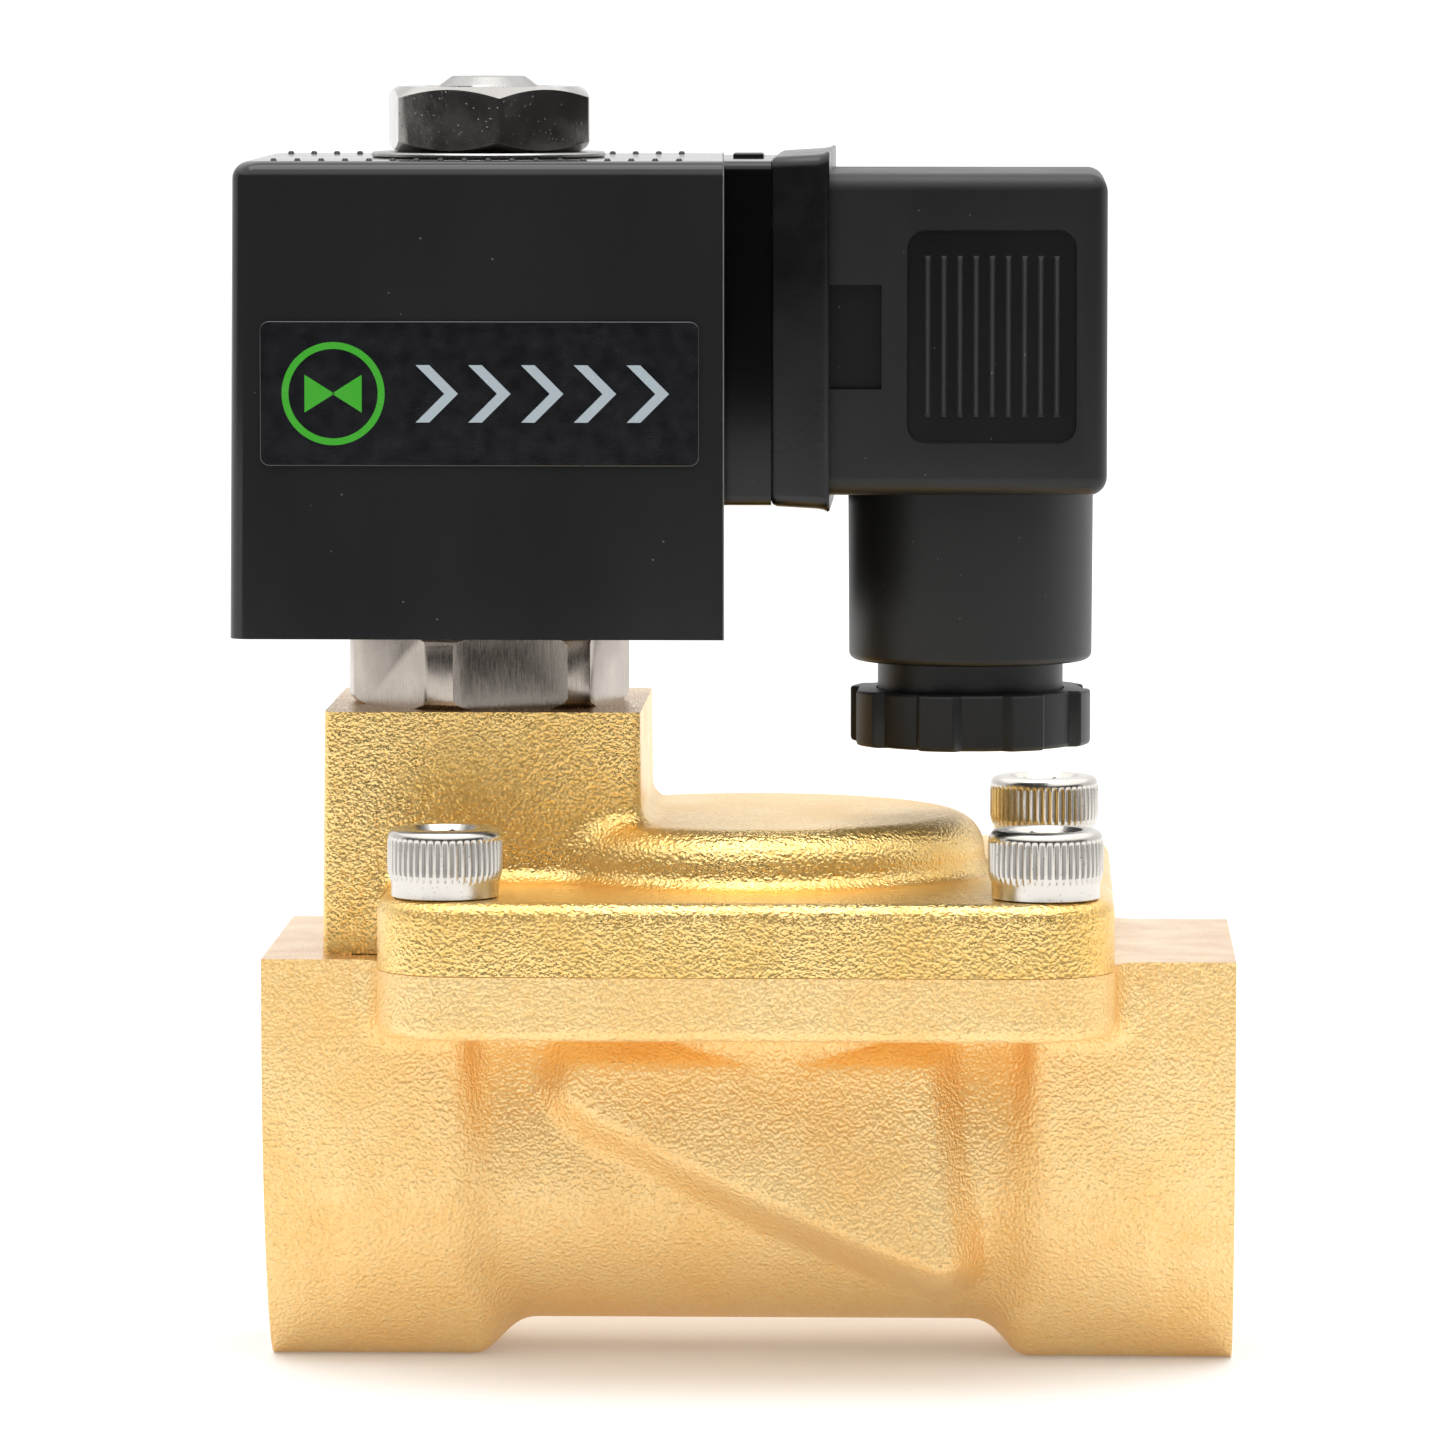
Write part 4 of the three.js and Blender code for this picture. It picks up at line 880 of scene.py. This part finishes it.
def make_core():
    """The fixed core, with the rolled thread of its stud."""
    bottom, top = heights("fixed_core")
    collar, head = 104.0, 104.8
    sides, pitch, per_pitch = 72, 1.0, 12
    thread, depth, tip, slope = 4.95, 0.6, 3.25, 1.35
    angles = np.arange(sides) * 2 * pi / sides
    rings = [[(TUBE_X, 0, bottom)]]
    for radius, z in ((5.6, bottom), (5.9, bottom + 0.3), (5.9, collar), (6.6, collar), (6.6, head)):
        rings.append([polar(TUBE_X, 0, z, radius, t) for t in angles])
    steps = int((top - head) / pitch * per_pitch)
    for i in range(steps + 1):
        z = head + (top - head) * i / steps
        ring = []
        for t in angles:
            phase = (z / pitch - t / (2 * pi)) % 1.0
            radius = min(thread - depth * abs(2 * phase - 1) ** 1.4, tip + (top - z) * slope)
            ring.append(polar(TUBE_X, 0, z, radius, t))
        rings.append(ring)
    rings.append([(TUBE_X, 0, top)])
    piece = loft("fixed_core_stud", rings)
    finish_piece(piece, 40, "root", "steel", "fixed_core", STEEL)


# ---- coil

def make_coil_dots():
    """Two rows of small raised dots on the coil's top. The back row is shifted to the left."""
    count, pitch, radius = 18, 2.084, 0.29
    foot, top = COIL_TOP - 0.3, COIL_TOP + 0.21
    profile = [(0, foot), (radius * 1.15, foot), (radius * 1.1, COIL_TOP), (radius * 0.92, top - 0.12),
               (radius * 0.6, top), (0, top)]
    return [
        turned("dot", profile, TUBE_X + shift + (i - (count - 1) / 2) * pitch, y, 12, smooth_angle=40)
        for y, shift in ((-15.2, -0.2), (15.2, -1.1)) for i in range(count)]


def make_coil():
    left, half = COIL_LOW[0], COIL_HIGH[1]
    bottom, top, neck_right = COIL_LOW[2], COIL_TOP, COIL_HIGH[0]
    right = neck_right - 4.0
    edge, corner, right_corner, draft = 1.5, 1.8, 0.12, 0.35
    heights = [(bottom, 0.0), (bottom + 0.01, 0.0), (top - edge, 0.0)]
    heights += [(z, edge - x) for x, z in arc(0, top - edge, edge, 0, 90, 8)[1:]]
    sections = []
    for z, inset in heights:
        # the left side slopes outwards by the draft on its way down
        case_left = left + draft - draft * (top - z) / (top - bottom)
        sections.append((z, case_left + inset, right, -half + inset, half - inset, corner, right_corner))
    piece = rounded_stack("coil_case", sections)
    # the right side leans in by this much towards the back
    lean = 1.2
    for vertex in piece.data.vertices:
        if vertex.co.x > TUBE_X * MM:
            vertex.co.x -= lean * MM * (vertex.co.y / MM + half) / (2 * half)
    wall, bore = 2.5, 6.8
    inside = (left + wall, -half + wall, bottom - 1), (right - wall, half - wall, top - wall)
    cut(piece, block("coil_cavity", *inside),
        turned("coil_bore", [(bore, top - 5), (bore, top + 2)], TUBE_X, sides=64))
    shade(piece, 30)
    neck_half, neck_bottom, neck_top, neck_corner = 14.0, 76.2, top - 0.05, 0.9
    neck = rounded_stack("neck", [
        section(x, -neck_half, neck_half, neck_bottom, neck_top, neck_corner)
        for x in (right - 2.4, neck_right)], "x", 30)
    nib_edges, nib_top, bevel = (right + 0.3, neck_right - 1.0, -1.9, 1.9), top + 0.42, 0.12
    nib = rounded_stack("nib", [
        section(top - 0.5, *nib_edges, 0.2), section(nib_top - bevel, *nib_edges, 0.2),
        section(nib_top, *nib_edges, 0.1, inset=bevel)], "z", 30)
    flash = make_flash(right, half, bottom, top, lean)
    dots = make_coil_dots()
    # The neck gets the darker black: painted shade.
    give(neck, NECK_SHADE_BLACK)
    give(flash, FLASH_GREY)
    for part in (piece, nib, *dots):
        give(part, COIL_BLACK)
    merge(piece, neck, nib, flash, *dots)
    stands_for(piece, "coil", "black_plastic", "coil_housing")


def make_flash(right, half, bottom, top, lean):
    """The thin, ragged fin that the mould left round the coil case's right-hand edge."""
    rng = np.random.default_rng(7)
    shoulder, up_steps, across_steps = top - 1.2, 160, 60
    rise = shoulder - bottom
    path = [(-half, bottom + rise * i / up_steps) for i in range(up_steps + 1)]
    path += [(-half + 2 * half * i / across_steps, top) for i in range(1, across_steps)]
    path += [(half, shoulder - rise * i / up_steps) for i in range(up_steps + 1)]
    least, ragged = 0.05, 0.16
    height = least + ragged * rng.random(len(path)) ** 2
    height = np.convolve(height, [0.25, 0.5, 0.25], "same")
    sunk = -0.05
    rings = []
    for (y, z), reach in zip(path, height):
        out_y = copysign(1, y) if abs(y) >= half - 1e-6 else 0
        out_z = 1 if out_y == 0 else 0
        edge = right - lean * (y + half) / (2 * half)
        rings.append([
            (edge + x, y + out * out_y, z + out * out_z)
            for x, out in ((-0.14, sunk), (0.02, sunk), (0.02, reach * 0.5), (-0.05, reach * 0.5))])
    return loft("flash", rings, smooth_angle=30)


def make_label():
    """The plate on the coil's front, with a plain valve symbol in a ring and a row of flow arrows."""
    low, high = node_box("coil_label")
    back, front = high[1], low[1]
    edges, corner, inset = (low[0], high[0], low[2], high[2]), 0.8, 0.07
    foil = rounded_stack("coil_label_plate", [
        section(back, *edges, corner), section(front + 0.05, *edges, corner),
        section(front, *edges, 0.75, inset=inset)], "y", 20, 8)
    give(foil, LABEL_FOIL, LABEL_EDGE)
    paint(foil, np.abs(face_centres(foil.data)[1][:, 1]) < 0.95, 1)
    middle = (low[2] + high[2]) / 2
    sunk, ink = 0.02, 0.012
    inner, outer, ring_x = 3.9, 4.5, low[0] + 6.4
    ring = turned("ink_ring", [
        (inner, front + sunk), (outer, front + sunk), (outer, front - ink), (inner, front - ink)],
        ring_x, middle, 64, closed=True, along="y")
    give(ring, INK_GREEN)

    def ink_shape(outline, material):
        """A thin flat shape standing out of the plate, from points in X and in Z above its middle."""
        outline = [(x, middle + up) for x, up in outline]
        shape = prism("ink", outline, front + sunk - (ink + sunk), front + sunk, "y")
        give(shape, material)
        return shape

    left, right, rise, overlap = ring_x - 2.5, ring_x + 2.5, 1.65, 0.12
    shapes = [
        ring,
        ink_shape([(left, -rise), (ring_x + overlap, 0), (left, rise)], INK_GREEN),
        ink_shape([(right, -rise), (right, rise), (ring_x - overlap, 0)], INK_GREEN)]
    start, pitch, count, tall, bar = low[0] + 13.6, 4.6, 5, 2.5, 1.1875
    for x in (start + i * pitch for i in range(count)):
        shapes.append(ink_shape([
            (x, -tall), (x + bar, -tall), (x + bar + tall, 0), (x + bar, tall), (x, tall), (x + tall, 0)],
            INK_GREY))
    merge(foil, *shapes)
    stands_for(foil, "coil", "label_foil", "coil_label")


# ---- plug

def make_gasket():
    low, high = node_box("connector_gasket")
    left, right = low[0], high[0]
    middle, plain_tall, plain_wide = (low[2] + high[2]) / 2, (high[2] - low[2]) / 2, 15.0
    sections = []
    # place along X, how far the outline stands out from the plain size, corner radius
    for x, out, corner in (
            (left, -1.0, 0.8), (left + 0.15, -0.62, 1.0), (left + 0.5, -0.45, 1.1),
            (right - 1.1, -0.25, 1.2), (right - 0.5, -0.15, 1.2), (right - 0.18, 0.0, 1.2),
            (right, -0.05, 1.2)):
        tall, wide = plain_tall + out, plain_wide + out
        sections.append(section(x, -wide, wide, middle - tall, middle + tall, corner))
    piece = rounded_stack("connector_gasket_seal", sections, "x")
    hole, long, short = 1.9, 3.25, 0.5
    cut(piece, turned("gasket_hole", [(hole, left - 1), (hole, right + 1)], 0, PLUG_SCREW_Z, 32, along="x"))
    for y, z, half_y, half_z in (
            (-9, PLUG_SCREW_Z, short, long), (9, PLUG_SCREW_Z, short, long), (0, 82.6, long, short)):
        low, high = (left - 1, y - half_y, z - half_z), (right + 1, y + half_y, z + half_z)
        cut(piece, block("gasket_slot", low, high))
    finish_piece(piece, 35, "coil", "black_rubber", "connector_gasket", GASKET_RUBBER)


PANEL_DEPTH = 0.42
WINDOW_DEPTH = 0.85


def grip_panel(side, half):
    """A cutter for the round-cornered recess on one side."""
    edges, out, inset = (15.2, 30.0, 81.7, 100.4), 1.0, 0.12
    return rounded_stack("panel", [
        section(side * (half - PANEL_DEPTH), *edges, 1.5, inset=inset), section(side * half, *edges, 1.6),
        section(side * (half + out), *edges, 1.6)], "y")


def grip_ribs(side, half):
    """The upright ribs that stand in the recess, each a narrow bar with sloping flanks and ends."""
    first, pitch, count = 17.0, 1.41, 9
    bottom, top = 84.0, 98.1
    foot, peak, slope = 0.26, 0.11, 0.3
    ribs = []
    for x in (first + i * pitch for i in range(count)):
        rings = []
        for depth, wide, inset in ((1.2, foot, 0), (PANEL_DEPTH, foot, 0), (0.06, peak, slope)):
            y, low, high = side * (half - depth), bottom + inset, top - inset
            rings.append([(x - wide, y, low), (x + wide, y, low), (x + wide, y, high), (x - wide, y, high)])
        rib = loft("rib", rings)
        # The ribs get the lighter black: painted highlight.
        give(rib, RIB_HIGHLIGHT_BLACK)
        ribs.append(rib)
    return ribs


def make_plug():
    left, right = PLUG_LOW[0], PLUG_HIGH[0]
    bottom, top, half = 77.1, PLUG_HIGH[2], PLUG_HIGH[1]
    edge, sharpest = 1.65, 0.05
    sections = [section(x, -half, half, bottom, top, edge) for x in (left, right - edge)]
    for t in np.radians(np.linspace(11, 90, 8)):
        inset = edge * (1 - cos(t))
        x, corner = right - edge + edge * sin(t), max(edge - inset, sharpest)
        sections.append(section(x, -half, half, bottom, top, corner, inset=inset))
    piece = rounded_stack("connector_case", sections, "x")
    spout, spout_bottom, round_edge, neck, neck_bottom = 10.8, 61.8, 0.7, 8.25, PLUG_LOW[2]
    profile = [(0, neck_bottom), (neck - 0.5, neck_bottom), (neck, neck_bottom + 0.5), (neck, spout_bottom)]
    profile += arc(spout - round_edge, spout_bottom + round_edge, round_edge, -90, 0, 6)
    profile += [(spout + 0.1, bottom + 2), (0, bottom + 2)]
    combine(piece, turned("spout", profile, GLAND_X, sides=128), "UNION")
    wall, cable, grommet, screw, sink, past = 2.2, 6.4, 7.2, 1.7, 3.6, right + 1
    inside = (left - 1, -half + wall, bottom + wall), (right - 3.5, half - wall, top - wall)
    cut(
        piece,
        block("plug_cavity", *inside),
        turned("cable_hole", [(cable, 60), (cable, bottom + wall + 1)], GLAND_X),
        turned("grommet_hole", [(grommet, neck_bottom - 1), (grommet, 66.5)], GLAND_X),
        turned("screw_hole", [(screw, right - 5), (screw, past)], 0, PLUG_SCREW_Z, 32, along="x"),
        turned("screw_sink", [(sink, right - 2.3), (sink, past)], 0, PLUG_SCREW_Z, 48, along="x"),
        grip_panel(-1, half),
        grip_panel(1, half))
    for side in (-1, 1):
        cut(piece, rounded_stack("window", [
            section(side * (half - WINDOW_DEPTH), left - 1, left + 4.55, 86.45, 95.55, 0.15),
            section(side * (half + 1), left - 1, left + 4.6, 86.4, 95.6, 0.15)], "y"))
    shade(piece, 30)
    give(piece, PLUG_BLACK, PANEL_BLACK)
    centres, normals = face_centres(piece.data)
    depths = half - np.abs(centres[:, 1])
    sunk = (np.abs(depths - PANEL_DEPTH) < 0.05) | (np.abs(depths - WINDOW_DEPTH) < 0.05)
    paint(piece, sunk & (np.abs(normals[:, 1]) > 0.9), 1)
    merge(piece, *grip_ribs(-1, half), *grip_ribs(1, half))
    stands_for(piece, "connector", "plug_plastic", "connector_housing")


def make_gland_nut():
    bottom, top = heights("gland_nut")
    outer, valley, lobes, first, lobe_wide, flank = 10.8, 10.0, 8, 29, 11.8, 3.2
    sides = 360

    def radius(angle):
        offset = (angle - first + 180 / lobes) % (360 / lobes) - 180 / lobes
        share = min(1.0, max(0.0, (lobe_wide - abs(offset)) / flank))
        return valley + (outer - valley) * share

    rings = [[(GLAND_X, 0, bottom)]]
    for z, out in (
            (bottom, -0.35), (bottom + 0.1, -0.12), (bottom + 0.35, 0.0), (top - 0.25, 0.0),
            (top - 0.07, -0.08), (top, -0.25)):
        angles = [k * 360 / sides for k in range(sides)]
        rings.append([polar(GLAND_X, 0, z, radius(a) + out, radians(a)) for a in angles])
    rings.append([(GLAND_X, 0, top)])
    piece = loft("gland_nut_lobed", rings)
    thread, thread_bottom, mouth, hole = 8.4, 55.3, 5.6, 5.0
    funnel = [(0, bottom - 1), (mouth, bottom - 1), (hole, bottom + 0.6), (hole, top), (0, top)]
    cut(
        piece,
        turned("nut_thread", [(thread, thread_bottom), (thread, top + 1)], GLAND_X),
        turned("nut_hole", funnel, GLAND_X))
    finish_piece(piece, 22, "gland_nut", "plug_plastic", "gland_nut", PLUG_BLACK)


# ---- pieces that change shape inside

def coil_spring(name, x, radius, wire, bottom, top, turns, node):
    """A spring with closed ends."""
    sides, per_turn, end_turns = 12, 36, 0.75
    rings = []
    for i in range(turns * per_turn + 1):
        turned_so_far = i / per_turn
        active = min(1.0, max(0.0, (turned_so_far - end_turns) / (turns - 2 * end_turns)))
        z = bottom + wire + (top - bottom - 2 * wire) * active
        angle = turned_so_far * 2 * pi
        rings.append([
            polar(x, 0, z + wire * sin(t), radius + wire * cos(t), angle)
            for t in (k * 2 * pi / sides for k in range(sides))])
    piece = loft(name, rings)
    finish_piece(piece, 40, "root", "steel", node, STEEL)
    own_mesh(piece)


def make_diaphragm():
    rim_low, rim_high, ear, bleed = 35.6, 37.6, 4.5, 1.5
    profile = [
        (3.1, 33.1), (12.9, 33.1), (14.0, 33.7), (14.9, 34.8), (15.7, rim_low), (24, rim_low), (24, rim_high),
        (15.4, rim_high), (14.5, 37.0), (13.7, 35.8), (12.9, 34.7), (3.1, 34.7)]
    piece = turned("diaphragm_rubber", profile, DISC_X, closed=True)
    combine(piece, turned("ear", [(ear, rim_low), (ear, rim_high)], TUBE_X), "UNION")
    cut(piece, turned("ear_hole", [(bleed, 35), (bleed, 38)], TUBE_X, sides=32))
    finish_piece(piece, 35, "root", "black_rubber", "diaphragm", GASKET_RUBBER)
    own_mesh(piece)


# ---- the room, in metres

def stage_sheet(name, corners, faces, finish, seen=True):
    mesh = bpy.data.meshes.new(name)
    mesh.from_pydata(corners, [], faces)
    sheet = bpy.data.objects.new(name, mesh)
    bpy.context.scene.collection.objects.link(sheet)
    mesh.materials.append(finish.material)
    sheet.visible_camera = seen


def make_floor():
    """White paper, which glows slightly."""
    half = 60.0
    finish = Finish("floor_paper", Emission_Color=(1, 1, 1, 1), Emission_Strength=0.16, Roughness=0.75,
                    Specular_IOR_Level=0.2)
    finish.colour(finish.noise(400.0), (0.79, 0.785, 0.78), (0.81, 0.805, 0.80))
    stage_sheet("floor", [(-half, -half, 0), (half, -half, 0), (half, half, 0), (-half, half, 0)],
                [(0, 1, 2, 3)], finish)


def make_card():
    """A folded black card round the front of the table, which darkens what the front faces reflect."""
    bottom, top = 0.001, 0.35
    folds = [(-0.75, -0.66), (0.75, -0.66), (0.80, -0.12)]
    finish = Finish("card_black", Roughness=0.9)
    finish.colour(finish.noise(20.0), (0.010, 0.010, 0.010), (0.014, 0.014, 0.014))
    stage_sheet("card", [(x, y, z) for x, y in folds for z in (bottom, top)],
                [(0, 2, 3, 1), (2, 4, 5, 3)], finish, seen=False)


def aimed(name, data, place, target):
    """A lamp or camera at place that looks at target."""
    made = bpy.data.objects.new(name, data)
    made.location = place
    made.rotation_euler = (Vector(target) - made.location).to_track_quat("-Z", "Y").to_euler()
    bpy.context.scene.collection.objects.link(made)
    return made


def make_top_box():
    light = bpy.data.lights.new("top_box", "AREA")
    light.shape = "RECTANGLE"
    light.size, light.size_y = 0.9, 0.7
    light.energy = 5.0
    aimed("top_box", light, (0.0, -0.10, 1.1), (0, 0, 0.05))


def make_world():
    """A studio that is bright behind and overhead, and dark in front, where the camera stands."""
    world = bpy.data.worlds.new("studio")
    bpy.context.scene.world = world
    world.use_nodes = True
    world.node_tree.nodes.clear()
    nodes = Nodes(world.node_tree)
    direction = nodes.add("ShaderNodeTexCoord", "Generated", {})
    back = nodes.add("ShaderNodeSeparateXYZ", "Y", {0: direction})
    up = back.node.outputs["Z"]
    smooth = {"interpolation_type": "SMOOTHSTEP"}
    room = nodes.spread(back, -0.13, 0.10, 0.03, 1.05, **smooth)
    overhead = nodes.spread(up, 0.32, 0.62, 0.0, 1.90, **smooth)
    behind = nodes.spread(back, 0.30, 1.00, 0.0, 0.25, **smooth)
    strength = nodes.math("ADD", nodes.math("MAXIMUM", room, overhead), behind)
    lit = nodes.add("ShaderNodeBackground", 0, {"Strength": strength})
    seen = nodes.add("ShaderNodeBackground", 0, {"Strength": 1.0, "Color": (0.985, 0.987, 1.0, 1)})
    by_camera = nodes.add("ShaderNodeLightPath", "Is Camera Ray", {})
    both = nodes.add("ShaderNodeMixShader", 0, {"Fac": by_camera, 1: lit, 2: seen})
    nodes.tree.links.new(both, nodes.tree.nodes.new("ShaderNodeOutputWorld").inputs["Surface"])


def make_camera():
    data = bpy.data.cameras.new("camera")
    data.sensor_width = 36
    data.lens = 224.1
    data.clip_start = 0.01
    bpy.context.scene.camera = aimed("camera", data, (0.0247, -0.800, 0.1236), (-0.0014, 0, 0.0560))


make_camera()
make_world()
make_floor()
make_card()
make_top_box()
bpy.context.scene.view_settings.view_transform = "Standard"

slot_of = {row["node"]: row["material_slot"] for row in frame["record"]["subparts"]}
for node, piece in frame["nodes"].items():
    give(piece, SLOT_MATERIALS[slot_of[node]])
    shade(piece, 30)

make_body()
make_bonnet()
for number in range(1, 5):
    make_screw(f"bonnet_screw_{number}")
make_tube_base()
make_top_nut()
make_lock_washer()
make_core()
make_coil()
make_label()
make_gasket()
make_plug()
make_gland_nut()
coil_spring("main_spring_wire", DISC_X, 7.6, 0.5, 36.3, 45.5, 4, "main_spring")
coil_spring("plunger_spring_wire", TUBE_X, 2.4, 0.3, 73.1, 83.9, 6, "plunger_spring")
make_diaphragm()
